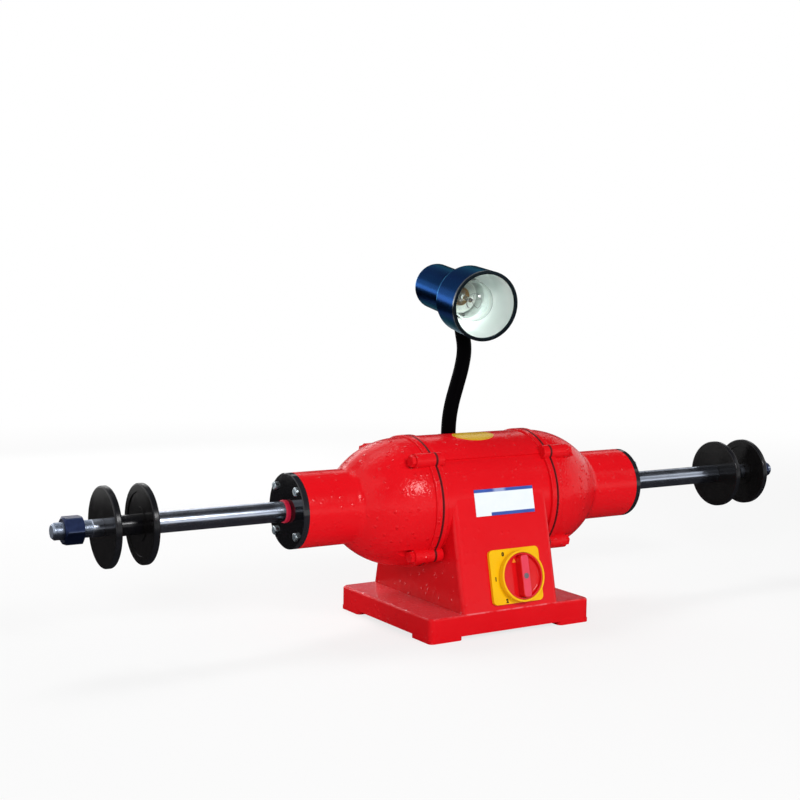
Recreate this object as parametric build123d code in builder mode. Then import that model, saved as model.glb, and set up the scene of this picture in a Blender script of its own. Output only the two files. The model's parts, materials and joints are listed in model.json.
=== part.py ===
from build123d import *
from math import acos, asin, atan2, cos, hypot, pi, radians, sin, sqrt, tan
import os

# Double-ended bench polishing machine with a gooseneck lamp, in millimetres.
# The origin is the middle of the base on the bench. X runs along the spindle, Y points to the
# back and Z up. Pieces that come in pairs are drawn on the right and mirrored to the left.

# Clearances
press_gap = 0.02
slide_gap = 0.05
swivel_gap = 0.3

# Base and pedestal of the body casting
axis_height = 158
base_length = 244
base_depth = 220
base_height = 31
base_corner = 8
base_edge = 3
foot_height = 5
foot_depth = 46
foot_corner = 6
foot_gap = 1
pedestal_setback = 15
pedestal_edge = 8
casting_wall = 9
face_inset = 0.3
bench_hole_radius = 4.25
bench_hole_depth = 20

# Motor barrel
barrel_radius = 80
barrel_length = 176
barrel_wall = 9
bore_radius = 69
lip_rise = 4
lip_width = 8
lip_round = 1.5
cap_rise = 2
cap_angle = 90
register_step = 3
register_depth = 5
wire_hole_radius = 7

# Lugs and bolts that hold the end bells
lug_radius = 9
lug_start_angle = 45
lug_count = 4
body_lug_length = 11
bell_lug_length = 29
bolt_radius = 4
bolt_reach = 8
bolt_hole_spare = 2
bolt_across_flats = 13
bolt_head_height = 5.5
spot_face_margin = 1.5
spot_face_length = 24

# End bells
bell_length = 165
bell_lip_width = 9
dome_step = 2.5
dome_arc = 115
neck_radius = 46.5
neck_fillet = 14
bell_wall = 9
bell_lip_thickness = 6
shoulder_height = 5
shoulder_width = 8

# Ball bearings
bearing_radius = 31
bearing_width = 17
outer_race_thickness = 5
inner_race_thickness = 4.5
ball_sink = 1
ball_count = 8
cage_thickness = 2
cage_strip = 1.4
cage_pocket_gap = 0.1
washer_thickness = 2
washer_width = 4

# Bearing covers, their screws and the dust seals
cover_thickness = 8
cover_spigot = 3
cover_chamfer = 1
cover_hole_gap = 0.8
screw_count = 4
screw_radius = 3
screw_head_radius = 5.5
screw_head_height = 3.6
screw_head_round = 1.6
screw_slot_width = 1.4
screw_slot_depth = 1.6
screw_reach = 14
seal_width = 5.5
seal_thickness = 1.5
seal_lip = 0.8

# Shaft
shaft_radius = 12.5
journal_step = 2.5
core_seat_step = 2.5
core_seat_spare = 2
shaft_reach = 180
wheel_seat_step = 0.5
wheel_gap = 36
arbor_step = 2
arbor_length = 66
tip_length = 12
tip_chamfer = 2.5

# Wheel flanges and nuts
flange_radius = 47
flange_thickness = 8
flange_round = 2
relief_depth = 1
hub_width = 8
rim_width = 10
left_flange_play = 0.2
right_flange_play = 10
nut_across_flats = 30
nut_height = 22
nut_chamfer = 2.4

# Motor
core_length = 100
air_gap = 0.5
rotor_radius = 40.5
end_ring_width = 8
end_ring_height = 14.5
winding_inset = 5
winding_width = 22

# Rotary switch on the pedestal's front face, measured from the axis that its knob turns on
switch_x = 13.5
switch_rise = 38
switch_plate_length = 76
switch_plate_height = 68
switch_plate_x = -5.5
switch_plate_y = 1.5
switch_plate_thickness = 4
switch_plate_corner = 6
ring_radius = 32
ring_wall = 2.4
ring_rise = 12
knob_gap = 0.5
knob_lift = 0.5
knob_drop = 0.5
knob_floor = 7
knob_rim = 2
knob_dish_round = 2.5
fin_width = 12
fin_margin = 2.5
fin_rise = 18
fin_round = 1.5
pointer_x = -9.1
pointer_margin = 9.7
pointer_radius = 3.4
pointer_thickness = 1.2
pointer_inset = 0.8
knob_screw_radius = 2
knob_screw_head_radius = 3.6
knob_screw_head_height = 2
knob_screw_reach = 8
switch_spindle_size = 6
switch_spindle_tail = 18
switch_neck_radius = 11.5
switch_body_size = 44
switch_body_depth = 32

# Nameplate and label
nameplate_x = 5
nameplate_rise = 4
nameplate_length = 90
nameplate_height = 33.6
nameplate_thickness = 0.8
label_x = 1.5
label_y = -14
label_length = 61
label_depth = 34
label_thickness = 0.4

# Bottom plate, terminal block and cable gland
bottom_plate_thickness = 1.5
bottom_plate_inset = 1
bottom_plate_lap = 2
bottom_screw_radius = 2
bottom_screw_head_radius = 3.8
bottom_screw_head_height = 2.2
bottom_screw_reach = 8
bottom_screw_y = 40
terminal_length = 60
terminal_depth = 22
terminal_height = 18
terminal_y = 30
terminal_pitch = 10
terminal_well_radius = 2.6
terminal_well_depth = 8
gland_x = -30
gland_rise = 31
gland_radius = 8
gland_bore_radius = 4
gland_across_flats = 24
gland_flange = 6
gland_cap_radius = 10.5
gland_cap_length = 14
gland_cap_round = 4
gland_tail = 14

# Lamp boss, lock nut and gooseneck
lamp_x = 12.7
lamp_y = 60
boss_radius = 14
boss_drop = 12
lock_nut_across_flats = 27
lock_nut_height = 5
tail_radius = 6
tail_length = 20
gooseneck_radius = 10
neck_stub = 16
neck_pitch = 25.6
neck_leans = (10, 18, 18, 10, -12)

# Lamp head, measured back from the rim of the shade along its axis
lamp_turn = -8
lamp_dip = -9
ferrule_lean = -9.3
ferrule_length = 47.5
ferrule_setback = 16
nipple_radius = 5
nipple_reach = 5
shade_radius = 46
shade_back_radius = 44.4
shade_depth = 60
shade_wall = 1.2
shade_shoulder = 4
shade_shoulder_round = 10
shade_collar = 4
rim_bead_width = 3
rim_bead_height = 4.6
rim_bead_round = 0.9
housing_radius = 31
housing_lead = 2
housing_length = 98
housing_wall = 1.5
housing_round = 8
holder_radius = 20
holder_skirt_radius = 24
holder_skirt_length = 12
holder_setback = 1
bulb_cap_radius = 13.2
bulb_cap_length = 28
bulb_cap_wall = 0.6
bulb_contact_radius = 5
bulb_contact_length = 2
bulb_start = 12
bulb_radius = 27
bulb_neck_radius = 13
bulb_length = 63
bulb_wall = 0.8

# Worked out from the driving dimensions
base_half = base_length / 2
seam = barrel_length / 2
pedestal_half = seam - pedestal_setback
pedestal_length = 2 * pedestal_half
half_depth = base_depth / 2
cavity_half = pedestal_half - casting_wall
foot_length = base_half - pedestal_half - foot_gap
bottom_screw_pitch = pedestal_length - casting_wall
rise = axis_height - base_height
face_reach = barrel_radius - face_inset
lean = atan2(half_depth, rise) - asin(face_reach / hypot(half_depth, rise))

lip_radius = barrel_radius + lip_rise
cap_radius = barrel_radius + cap_rise
register_radius = bore_radius + register_step
lug_end = seam + bell_lug_length
bolt_length = bell_lug_length + bolt_reach
spot_face_radius = bolt_across_flats / sqrt(3) + spot_face_margin

neck_end = seam + bell_length
dome_start = seam + bell_lip_width
dome_radius = lip_radius - dome_step
dome_centre = dome_radius - dome_arc
dome_end = dome_start + sqrt(dome_arc**2 - (neck_radius - dome_centre) ** 2)
dome_inner_arc = dome_arc - bell_wall
neck_inner_radius = neck_radius - bell_wall
dome_inner_end = dome_start + sqrt(dome_inner_arc**2 - (neck_inner_radius - dome_centre) ** 2)
bell_bore_radius = register_radius - bell_lip_thickness

bearing_end = neck_end - cover_spigot
bearing_start = bearing_end - bearing_width
bearing_middle = (bearing_start + bearing_end) / 2
bearing_shoulder = bearing_start - washer_thickness
race_land_outer = bearing_radius - outer_race_thickness
race_land_inner = shaft_radius + inner_race_thickness
ball_circle = (race_land_outer + race_land_inner) / 2
ball_radius = (race_land_outer - race_land_inner) / 2 + ball_sink
cage_width = 2 * (ball_radius + cage_pocket_gap + cage_strip)
cover_face = neck_end + cover_thickness
screw_circle = (neck_radius + bearing_radius) / 2
screw_depth = cover_thickness + screw_reach

journal_radius = shaft_radius + journal_step
core_seat_radius = journal_radius + core_seat_step
wheel_seat_radius = shaft_radius - wheel_seat_step
arbor_radius = wheel_seat_radius - arbor_step
wheel_shoulder = cover_face + shaft_reach
wheel_seat_end = wheel_shoulder + flange_thickness + wheel_gap
shaft_tip = wheel_seat_end + arbor_length
nut_start = shaft_tip - tip_length - nut_height
core_half = core_length / 2
wire_hole_x = core_half + wire_hole_radius
core_seat_half = core_half + end_ring_width + core_seat_spare

switch_z = base_height + switch_rise
ring_inner_radius = ring_radius - ring_wall
knob_radius = ring_inner_radius - knob_gap
knob_base = switch_plate_thickness + knob_lift
fin_length = 2 * (knob_radius - fin_margin)
pointer_y = knob_radius - pointer_margin
knob_top = ring_rise - knob_drop

boss_top = axis_height + barrel_radius - boss_drop
lamp_foot = boss_top + lock_nut_height
bulb_neck = bulb_start + bulb_length
holder_start = bulb_neck + holder_setback
housing_start = shade_depth + housing_lead
housing_end = housing_start + housing_length
shade_end = shade_depth + shade_shoulder + shade_collar
ferrule_station = shade_end + ferrule_setback
collar_radius = housing_radius + slide_gap + shade_wall

# Planes and axes that the pieces share
spindle_axis = Axis((0, 0, axis_height), (1, 0, 0))
profile_plane = Plane(origin=(0, 0, axis_height), x_dir=(1, 0, 0), z_dir=(0, -1, 0))


def end_plane(x):
    """Plane across the spindle at x, with Y to its right and Z up."""
    return Plane(origin=(x, 0, axis_height), x_dir=(0, 1, 0), z_dir=(1, 0, 0))


def face_y(z):
    """Where the leaning front face of the pedestal stands at height z."""
    return -half_depth + (z - base_height) * tan(lean)


def front_plane(x, z):
    """Plane on the pedestal's front face, looking out of it."""
    return Plane(origin=(x, face_y(z), z), x_dir=(1, 0, 0), z_dir=(0, -cos(lean), sin(lean)))


def rear_plane(x, z):
    """Plane on the pedestal's rear face, looking out of it."""
    return Plane(origin=(x, -face_y(z), z), x_dir=(-1, 0, 0), z_dir=(0, cos(lean), sin(lean)))


def turned(start, end, radius, mode=Mode.ADD):
    """A cylinder on the spindle's axis from start to end."""
    with Locations(Location((start, 0, axis_height), (0, 90, 0))):
        Cylinder(radius, end - start, align=(Align.CENTER, Align.CENTER, Align.MIN), mode=mode)


def upright(place, radius, height, mode=Mode.ADD):
    """A cylinder that stands on a point or a plane."""
    with Locations(place):
        Cylinder(radius, height, align=(Align.CENTER, Align.CENTER, Align.MIN), mode=mode)


def save(piece, name):
    piece.label = name
    export_step(piece, f"parts/{name}.step")


def save_pair(piece, name):
    save(piece, f"right_{name}")
    save(mirror(piece, about=Plane.YZ), f"left_{name}")


os.makedirs("parts", exist_ok=True)


# Body casting
def pedestal_outline(bottom):
    """Half section points of the pedestal, from the bottom up to where the faces meet the barrel."""
    top_y = face_reach * cos(lean)
    top_z = axis_height + face_reach * sin(lean)
    front = [(-half_depth, bottom), (-half_depth, base_height), (-top_y, top_z)]
    return front + [(-y, z) for y, z in reversed(front)]


with BuildPart() as pedestal_block:
    with BuildSketch(Plane.YZ.offset(-pedestal_half)):
        with BuildLine():
            Polyline(*pedestal_outline(foot_height), close=True)
        make_face()
    extrude(amount=pedestal_length)
    rising = pedestal_block.edges().filter_by(lambda edge: abs((edge @ 1 - edge @ 0).Z) > foot_height)
    fillet(rising, pedestal_edge)

with BuildPart() as pedestal_cavity:
    with BuildSketch(Plane.YZ.offset(-cavity_half)):
        with BuildLine():
            Polyline(*pedestal_outline(-2 * casting_wall), close=True)
        make_face()
        offset(amount=-casting_wall, kind=Kind.INTERSECTION, mode=Mode.REPLACE)
        with Locations((0, axis_height)):
            Circle(bore_radius + barrel_wall, mode=Mode.SUBTRACT)
    extrude(amount=2 * cavity_half)

cap_edge = radians(cap_angle / 2)
cap_plane = Plane(
    origin=(0, 0, axis_height), x_dir=(1, 0, 0), z_dir=(0, -cos(cap_edge), -sin(cap_edge))
)
cap_axis = Axis((0, 0, axis_height), (-1, 0, 0))

with BuildPart() as body_casting:
    # Base slab on four foot pads
    with BuildSketch(Plane.XY.offset(foot_height)):
        RectangleRounded(base_length, base_depth, base_corner)
    extrude(amount=base_height - foot_height)
    fillet(body_casting.faces().sort_by(Axis.Z)[-1].edges(), base_edge)
    with BuildSketch(Plane.XY):
        with GridLocations(base_length - foot_length, base_depth - foot_depth, 2, 2):
            RectangleRounded(foot_length, foot_depth, foot_corner)
    extrude(amount=foot_height)
    # Pedestal and barrel with a lip at each end
    add(pedestal_block.part)
    with BuildSketch(profile_plane):
        Rectangle(barrel_length, barrel_radius, align=(Align.CENTER, Align.MIN))
        with GridLocations(barrel_length - lip_width, 0, 2, 1):
            RectangleRounded(lip_width, lip_radius, lip_round, align=(Align.CENTER, Align.MIN))
    revolve(axis=spindle_axis)
    # Raised cap along the top of the barrel
    with BuildSketch(cap_plane):
        Rectangle(barrel_length - lip_width, cap_radius, align=(Align.CENTER, Align.MIN))
    revolve(axis=cap_axis, revolution_arc=cap_angle)
    # Lugs for the bell bolts
    for lug_start in (seam - body_lug_length, -seam):
        with BuildSketch(end_plane(lug_start)):
            with PolarLocations(lip_radius, lug_count, start_angle=lug_start_angle):
                Circle(lug_radius)
        extrude(amount=body_lug_length)
    # Boss for the lamp
    upright((lamp_x, lamp_y, axis_height), boss_radius, boss_top - axis_height)
    upright((lamp_x, lamp_y, axis_height), tail_radius + slide_gap, boss_top - axis_height, Mode.SUBTRACT)
    # Bore for the stator with a register for each bell
    turned(-seam, seam, bore_radius, Mode.SUBTRACT)
    turned(seam - register_depth, seam, register_radius, Mode.SUBTRACT)
    turned(-seam, register_depth - seam, register_radius, Mode.SUBTRACT)
    # Hollow pedestal with a way for the wires
    add(pedestal_cavity.part, mode=Mode.SUBTRACT)
    with Locations((wire_hole_x, 0, axis_height)):
        Cylinder(
            wire_hole_radius,
            bore_radius + 2 * barrel_wall,
            align=(Align.CENTER, Align.CENTER, Align.MAX),
            mode=Mode.SUBTRACT,
        )
    with Locations(front_plane(switch_x, switch_z)):
        Cylinder(switch_neck_radius + swivel_gap, 3 * casting_wall, mode=Mode.SUBTRACT)
    with Locations(rear_plane(gland_x, base_height + gland_rise)):
        Cylinder(gland_radius + slide_gap, 3 * casting_wall, mode=Mode.SUBTRACT)
    # Bolt holes in the lugs
    hole_depth = bolt_reach + bolt_hole_spare
    for hole_start in (seam - hole_depth, -seam):
        with BuildSketch(end_plane(hole_start)):
            with PolarLocations(lip_radius, lug_count, start_angle=lug_start_angle):
                Circle(bolt_radius + slide_gap)
        extrude(amount=hole_depth, mode=Mode.SUBTRACT)
    # Pockets under the ledges and the holes under the base
    pocket_length = base_half - pedestal_half - 2 * casting_wall
    pocket_depth = base_depth - 2 * foot_depth - casting_wall
    with BuildSketch(Plane.XY.offset(foot_height)):
        with GridLocations(base_half + pedestal_half, 0, 2, 1):
            Rectangle(pocket_length, pocket_depth)
    extrude(amount=base_height - casting_wall - foot_height, mode=Mode.SUBTRACT)
    with BuildSketch(Plane.XY):
        with GridLocations(base_length - foot_length, base_depth - foot_depth, 2, 2):
            Circle(bench_hole_radius)
    extrude(amount=bench_hole_depth, mode=Mode.SUBTRACT)
    with BuildSketch(Plane.XY.offset(foot_height)):
        with GridLocations(bottom_screw_pitch, 2 * bottom_screw_y, 2, 2):
            Circle(bottom_screw_radius + slide_gap)
    extrude(amount=bottom_screw_reach + bolt_hole_spare, mode=Mode.SUBTRACT)
save(body_casting.part, "body_casting")

# End bells
with BuildPart() as end_bell:
    with BuildSketch(profile_plane) as bell_profile:
        with BuildLine():
            outer_start = (dome_start, dome_radius)
            outer_middle_x = (dome_start + dome_end) / 2
            outer_middle_rise = sqrt(dome_arc**2 - (outer_middle_x - dome_start) ** 2)
            outer_middle = (outer_middle_x, dome_centre + outer_middle_rise)
            inner_middle_x = (dome_start + dome_inner_end) / 2
            inner_middle_rise = sqrt(dome_inner_arc**2 - (inner_middle_x - dome_start) ** 2)
            inner_middle = (inner_middle_x, dome_centre + inner_middle_rise)
            Polyline(
                (dome_start, dome_radius - bell_wall),
                (dome_start, bell_bore_radius),
                (seam - register_depth, bell_bore_radius),
                (seam - register_depth, register_radius - press_gap),
                (seam, register_radius - press_gap),
                (seam, dome_radius),
                outer_start,
            )
            ThreePointArc(outer_start, outer_middle, (dome_end, neck_radius))
            Polyline(
                (dome_end, neck_radius),
                (neck_end, neck_radius),
                (neck_end, bearing_radius),
                (bearing_shoulder, bearing_radius),
                (bearing_shoulder, bearing_radius - shoulder_height),
                (bearing_shoulder - shoulder_width, bearing_radius - shoulder_height),
                (bearing_shoulder - shoulder_width, neck_inner_radius),
                (dome_inner_end, neck_inner_radius),
            )
            ThreePointArc(
                (dome_inner_end, neck_inner_radius), inner_middle, (dome_start, dome_radius - bell_wall)
            )
        make_face()
        waist = bell_profile.vertices().sort_by_distance((dome_end, neck_radius, 0))[0]
        fillet(waist, neck_fillet)
        with Locations((seam + bell_lip_width / 2, lip_radius)):
            RectangleRounded(
                bell_lip_width, lip_radius - register_radius, lip_round, align=(Align.CENTER, Align.MAX)
            )
    revolve(axis=spindle_axis)
    # Lugs, cut back around the bolt heads
    with BuildSketch(end_plane(seam)):
        with PolarLocations(lip_radius, lug_count, start_angle=lug_start_angle):
            Circle(lug_radius)
    extrude(amount=bell_lug_length)
    with BuildSketch(end_plane(seam)):
        with PolarLocations(lip_radius, lug_count, start_angle=lug_start_angle):
            Circle(bolt_radius + swivel_gap)
    extrude(amount=bell_lug_length, mode=Mode.SUBTRACT)
    with BuildSketch(end_plane(lug_end)):
        with PolarLocations(lip_radius, lug_count, start_angle=lug_start_angle):
            Circle(spot_face_radius)
    extrude(amount=spot_face_length, mode=Mode.SUBTRACT)
    # Holes for the cover screws
    with BuildSketch(end_plane(neck_end)):
        with PolarLocations(screw_circle, screw_count, start_angle=lug_start_angle):
            Circle(screw_radius + slide_gap)
    extrude(amount=-screw_reach - bolt_hole_spare, mode=Mode.SUBTRACT)
save_pair(end_bell.part, "end_bell")

with BuildPart() as bell_bolts:
    with BuildSketch(end_plane(lug_end)):
        with PolarLocations(lip_radius, lug_count, start_angle=lug_start_angle):
            RegularPolygon(bolt_across_flats / 2, 6, major_radius=False)
    extrude(amount=bolt_head_height)
    with BuildSketch(end_plane(lug_end)):
        with PolarLocations(lip_radius, lug_count, start_angle=lug_start_angle):
            Circle(bolt_radius)
    extrude(amount=-bolt_length)
save_pair(bell_bolts.part, "bell_bolts")

# Bearing covers and their screws
with BuildPart() as bearing_cover:
    turned(neck_end, cover_face, neck_radius)
    chamfer(bearing_cover.faces().sort_by(Axis.X)[-1].edges(), cover_chamfer)
    turned(bearing_end, neck_end, bearing_radius - press_gap)
    turned(bearing_end, neck_end, bearing_radius - shoulder_height, Mode.SUBTRACT)
    turned(neck_end, cover_face, shaft_radius + cover_hole_gap, Mode.SUBTRACT)
    with BuildSketch(end_plane(neck_end)):
        with PolarLocations(screw_circle, screw_count, start_angle=lug_start_angle):
            Circle(screw_radius + swivel_gap)
    extrude(amount=cover_thickness, mode=Mode.SUBTRACT)
save_pair(bearing_cover.part, "bearing_cover")

with BuildPart() as cover_screws:
    with BuildSketch(end_plane(cover_face)):
        with PolarLocations(screw_circle, screw_count, start_angle=lug_start_angle):
            Circle(screw_head_radius)
    extrude(amount=screw_head_height)
    fillet(cover_screws.faces().group_by(Axis.X)[-1].edges(), screw_head_round)
    with BuildSketch(end_plane(cover_face + screw_head_height)):
        with PolarLocations(screw_circle, screw_count, start_angle=lug_start_angle):
            Rectangle(screw_slot_width, 3 * screw_head_radius)
    extrude(amount=-screw_slot_depth, mode=Mode.SUBTRACT)
    with BuildSketch(end_plane(cover_face)):
        with PolarLocations(screw_circle, screw_count, start_angle=lug_start_angle):
            Circle(screw_radius)
    extrude(amount=-screw_depth)
save_pair(cover_screws.part, "cover_screws")

with BuildPart() as dust_seal:
    seal_start = cover_face + swivel_gap
    turned(seal_start, seal_start + seal_width, shaft_radius + seal_thickness)
    chamfer(dust_seal.faces().sort_by(Axis.X)[-1].edges(), seal_lip)
    turned(seal_start, seal_start + seal_width, shaft_radius + press_gap, Mode.SUBTRACT)
save_pair(dust_seal.part, "dust_seal")

# Ball bearings, each held between the bell's shoulder and the cover
with BuildPart() as outer_race:
    with BuildSketch(profile_plane):
        with Locations((bearing_middle, (race_land_outer + bearing_radius - press_gap) / 2)):
            Rectangle(bearing_width, bearing_radius - press_gap - race_land_outer)
        with Locations((bearing_middle, ball_circle)):
            Circle(ball_radius + swivel_gap, mode=Mode.SUBTRACT)
    revolve(axis=spindle_axis)
save_pair(outer_race.part, "bearing_outer_race")

with BuildPart() as inner_race:
    with BuildSketch(profile_plane):
        with Locations((bearing_middle, (race_land_inner + shaft_radius + press_gap) / 2)):
            Rectangle(bearing_width, race_land_inner - shaft_radius - press_gap)
        with Locations((bearing_middle, ball_circle)):
            Circle(ball_radius + swivel_gap, mode=Mode.SUBTRACT)
    revolve(axis=spindle_axis)
save_pair(inner_race.part, "bearing_inner_race")

with BuildPart() as bearing_balls:
    with Locations(end_plane(bearing_middle)):
        with PolarLocations(ball_circle, ball_count):
            Sphere(ball_radius)
save_pair(bearing_balls.part, "bearing_balls")

with BuildPart() as bearing_cage:
    cage_start = bearing_middle - cage_width / 2
    cage_end = bearing_middle + cage_width / 2
    turned(cage_start, cage_end, ball_circle + cage_thickness / 2)
    turned(cage_start, cage_end, ball_circle - cage_thickness / 2, Mode.SUBTRACT)
    with Locations(end_plane(bearing_middle)):
        with PolarLocations(ball_circle, ball_count):
            Cylinder(
                ball_radius + cage_pocket_gap, bearing_width, rotation=(0, 90, 0), mode=Mode.SUBTRACT
            )
save_pair(bearing_cage.part, "bearing_cage")

with BuildPart() as bearing_washer:
    turned(bearing_shoulder, bearing_start, bearing_radius - press_gap)
    turned(bearing_shoulder, bearing_start, bearing_radius - washer_width, Mode.SUBTRACT)
save_pair(bearing_washer.part, "bearing_washer")

# Shaft, turned from one bar
with BuildPart() as shaft:
    with BuildSketch(profile_plane):
        with BuildLine():
            Polyline(
                (0, 0),
                (0, core_seat_radius),
                (core_seat_half, core_seat_radius),
                (core_seat_half, journal_radius),
                (bearing_start, journal_radius),
                (bearing_start, shaft_radius),
                (wheel_shoulder, shaft_radius),
                (wheel_shoulder, wheel_seat_radius),
                (wheel_seat_end, wheel_seat_radius),
                (wheel_seat_end, arbor_radius),
                (shaft_tip - tip_chamfer, arbor_radius),
                (shaft_tip, arbor_radius - tip_chamfer),
                (shaft_tip, 0),
                close=True,
            )
        make_face()
        mirror(about=Plane.YZ)
    revolve(axis=spindle_axis)
save(shaft.part, "shaft")


# Wheel flanges: the clamping face is relieved between its hub and its rim
def wheel_flange(start, bore, clamps_outward):
    end = start + flange_thickness
    relief_start = end - relief_depth if clamps_outward else start
    with BuildPart() as flange:
        turned(start, end, flange_radius)
        fillet(flange.edges().filter_by(GeomType.CIRCLE), flange_round)
        with BuildSketch(end_plane(relief_start)):
            Circle(flange_radius - rim_width)
            Circle(wheel_seat_radius + hub_width, mode=Mode.SUBTRACT)
        extrude(amount=relief_depth, mode=Mode.SUBTRACT)
        turned(start, end, bore, Mode.SUBTRACT)
    return flange.part


save_pair(wheel_flange(wheel_shoulder, wheel_seat_radius + press_gap, True), "inner_flange")
arbor_bore = arbor_radius + slide_gap
save(wheel_flange(wheel_seat_end + right_flange_play, arbor_bore, False), "right_outer_flange")
left_twin = wheel_flange(wheel_seat_end + left_flange_play, arbor_bore, False)
save(mirror(left_twin, about=Plane.YZ), "left_outer_flange")

with BuildPart() as arbor_nut:
    nut_corner = nut_across_flats / sqrt(3)
    with BuildSketch(end_plane(nut_start)):
        RegularPolygon(nut_across_flats / 2, 6, major_radius=False)
    extrude(amount=nut_height)
    with BuildSketch(profile_plane):
        with BuildLine():
            Polyline(
                (nut_start, 0),
                (nut_start, nut_across_flats / 2),
                (nut_start + nut_chamfer / 2, nut_corner),
                (nut_start + nut_height - nut_chamfer, nut_corner),
                (nut_start + nut_height, nut_across_flats / 2 - nut_chamfer / 2),
                (nut_start + nut_height, 0),
                close=True,
            )
        make_face()
    revolve(axis=spindle_axis, mode=Mode.INTERSECT)
    turned(nut_start, nut_start + nut_height, arbor_bore, Mode.SUBTRACT)
save_pair(arbor_nut.part, "arbor_nut")

# Motor
with BuildPart() as rotor_core:
    turned(-core_half, core_half, rotor_radius)
    turned(-core_half, core_half, core_seat_radius + press_gap, Mode.SUBTRACT)
save(rotor_core.part, "rotor_core")

with BuildPart() as rotor_end_rings:
    for ring_start in (core_half, -core_half - end_ring_width):
        turned(ring_start, ring_start + end_ring_width, rotor_radius)
    turned(-core_seat_half, core_seat_half, rotor_radius - end_ring_height, Mode.SUBTRACT)
save(rotor_end_rings.part, "rotor_end_rings")

with BuildPart() as stator_core:
    turned(-core_half, core_half, bore_radius - press_gap)
    turned(-core_half, core_half, rotor_radius + air_gap, Mode.SUBTRACT)
save(stator_core.part, "stator_core")

with BuildPart() as stator_windings:
    winding_end = core_half + winding_width
    for winding_start in (core_half, -winding_end):
        turned(winding_start, winding_start + winding_width, bore_radius - winding_inset)
    turned(-winding_end, winding_end, rotor_radius + air_gap + winding_inset, Mode.SUBTRACT)
save(stator_windings.part, "stator_windings")

# Rotary switch
switch_plane = front_plane(switch_x, switch_z)
spindle_top = fin_rise - knob_screw_head_height

with BuildPart() as switch_plate:
    with BuildSketch(switch_plane):
        with Locations((switch_plate_x, switch_plate_y)):
            RectangleRounded(switch_plate_length, switch_plate_height, switch_plate_corner)
    extrude(amount=switch_plate_thickness)
    upright(switch_plane, ring_radius, ring_rise)
    upright(switch_plane.offset(switch_plate_thickness), ring_inner_radius, ring_rise, Mode.SUBTRACT)
    upright(switch_plane, switch_spindle_size, switch_plate_thickness, Mode.SUBTRACT)
save(switch_plate.part, "switch_plate")

with BuildPart() as switch_knob:
    upright(switch_plane.offset(knob_base), knob_radius, knob_top - knob_base)
    upright(switch_plane.offset(knob_floor), knob_radius - knob_rim, knob_top, Mode.SUBTRACT)
    dish_edge = switch_knob.faces().filter_by(GeomType.PLANE).sort_by(
        Axis(switch_plane.origin, switch_plane.z_dir)
    )[1].edges()
    fillet(dish_edge, knob_dish_round)
    with BuildSketch(switch_plane.offset(knob_base)):
        RectangleRounded(fin_width, fin_length, fin_width / 2 - fin_round)
    extrude(amount=fin_rise - knob_base)
    fin_face = switch_knob.faces().sort_by(Axis(switch_plane.origin, switch_plane.z_dir))[-1]
    fillet(fin_face.edges(), fin_round)
    # Pocket for the pointer, head of the screw and the square spindle
    with BuildSketch(switch_plane.offset(knob_floor - pointer_inset)):
        with Locations((pointer_x, pointer_y)):
            RegularPolygon(pointer_radius + slide_gap, 3, rotation=90)
    extrude(amount=knob_top, mode=Mode.SUBTRACT)
    upright(switch_plane.offset(spindle_top), knob_screw_head_radius + slide_gap, fin_rise, Mode.SUBTRACT)
    upright(switch_plane, knob_screw_radius + slide_gap, spindle_top, Mode.SUBTRACT)
    with BuildSketch(switch_plane):
        Rectangle(switch_spindle_size + 2 * slide_gap, switch_spindle_size + 2 * slide_gap)
    extrude(amount=knob_floor, mode=Mode.SUBTRACT)
save(switch_knob.part, "switch_knob")

with BuildPart() as switch_pointer:
    with BuildSketch(switch_plane.offset(knob_floor - pointer_inset)):
        with Locations((pointer_x, pointer_y)):
            RegularPolygon(pointer_radius, 3, rotation=90)
    extrude(amount=pointer_thickness)
save(switch_pointer.part, "switch_pointer")

with BuildPart() as knob_screw:
    upright(switch_plane.offset(spindle_top), knob_screw_head_radius, knob_screw_head_height)
    screw_tip = knob_floor - knob_screw_reach
    upright(switch_plane.offset(screw_tip), knob_screw_radius, spindle_top - screw_tip)
save(knob_screw.part, "knob_screw")

with BuildPart() as switch_spindle:
    with BuildSketch(switch_plane.offset(-casting_wall - switch_spindle_tail)):
        Rectangle(switch_spindle_size, switch_spindle_size)
    extrude(amount=casting_wall + switch_spindle_tail + knob_floor)
    screw_hole = knob_screw_radius + slide_gap
    upright(switch_plane.offset(screw_tip), screw_hole, knob_floor - screw_tip, Mode.SUBTRACT)
save(switch_spindle.part, "switch_spindle")

with BuildPart() as switch_body:
    with BuildSketch(switch_plane.offset(-casting_wall)):
        Rectangle(switch_body_size, switch_body_size)
    extrude(amount=-switch_body_depth)
    upright(switch_plane.offset(-casting_wall), switch_neck_radius, casting_wall)
    upright(
        switch_plane.offset(-casting_wall - switch_spindle_tail - swivel_gap),
        switch_spindle_size / sqrt(2) + swivel_gap,
        casting_wall + switch_spindle_tail + swivel_gap,
        Mode.SUBTRACT,
    )
save(switch_body.part, "switch_body")

# Nameplate and label
with BuildPart() as nameplate:
    with BuildSketch(front_plane(nameplate_x, axis_height + nameplate_rise).offset(face_inset + press_gap)):
        Rectangle(nameplate_length, nameplate_height)
    extrude(amount=nameplate_thickness)
save(nameplate.part, "nameplate")

with BuildPart() as top_label:
    label_reach = label_length + abs(label_x)
    turned(-label_reach, label_reach, cap_radius + press_gap + label_thickness)
    turned(-label_reach, label_reach, cap_radius + press_gap, Mode.SUBTRACT)
    with BuildSketch(Plane.XY.offset(axis_height)):
        with Locations((label_x, label_y)):
            Ellipse(label_length / 2, label_depth / 2)
    extrude(amount=2 * cap_radius, mode=Mode.INTERSECT)
save(top_label.part, "top_label")

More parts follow.
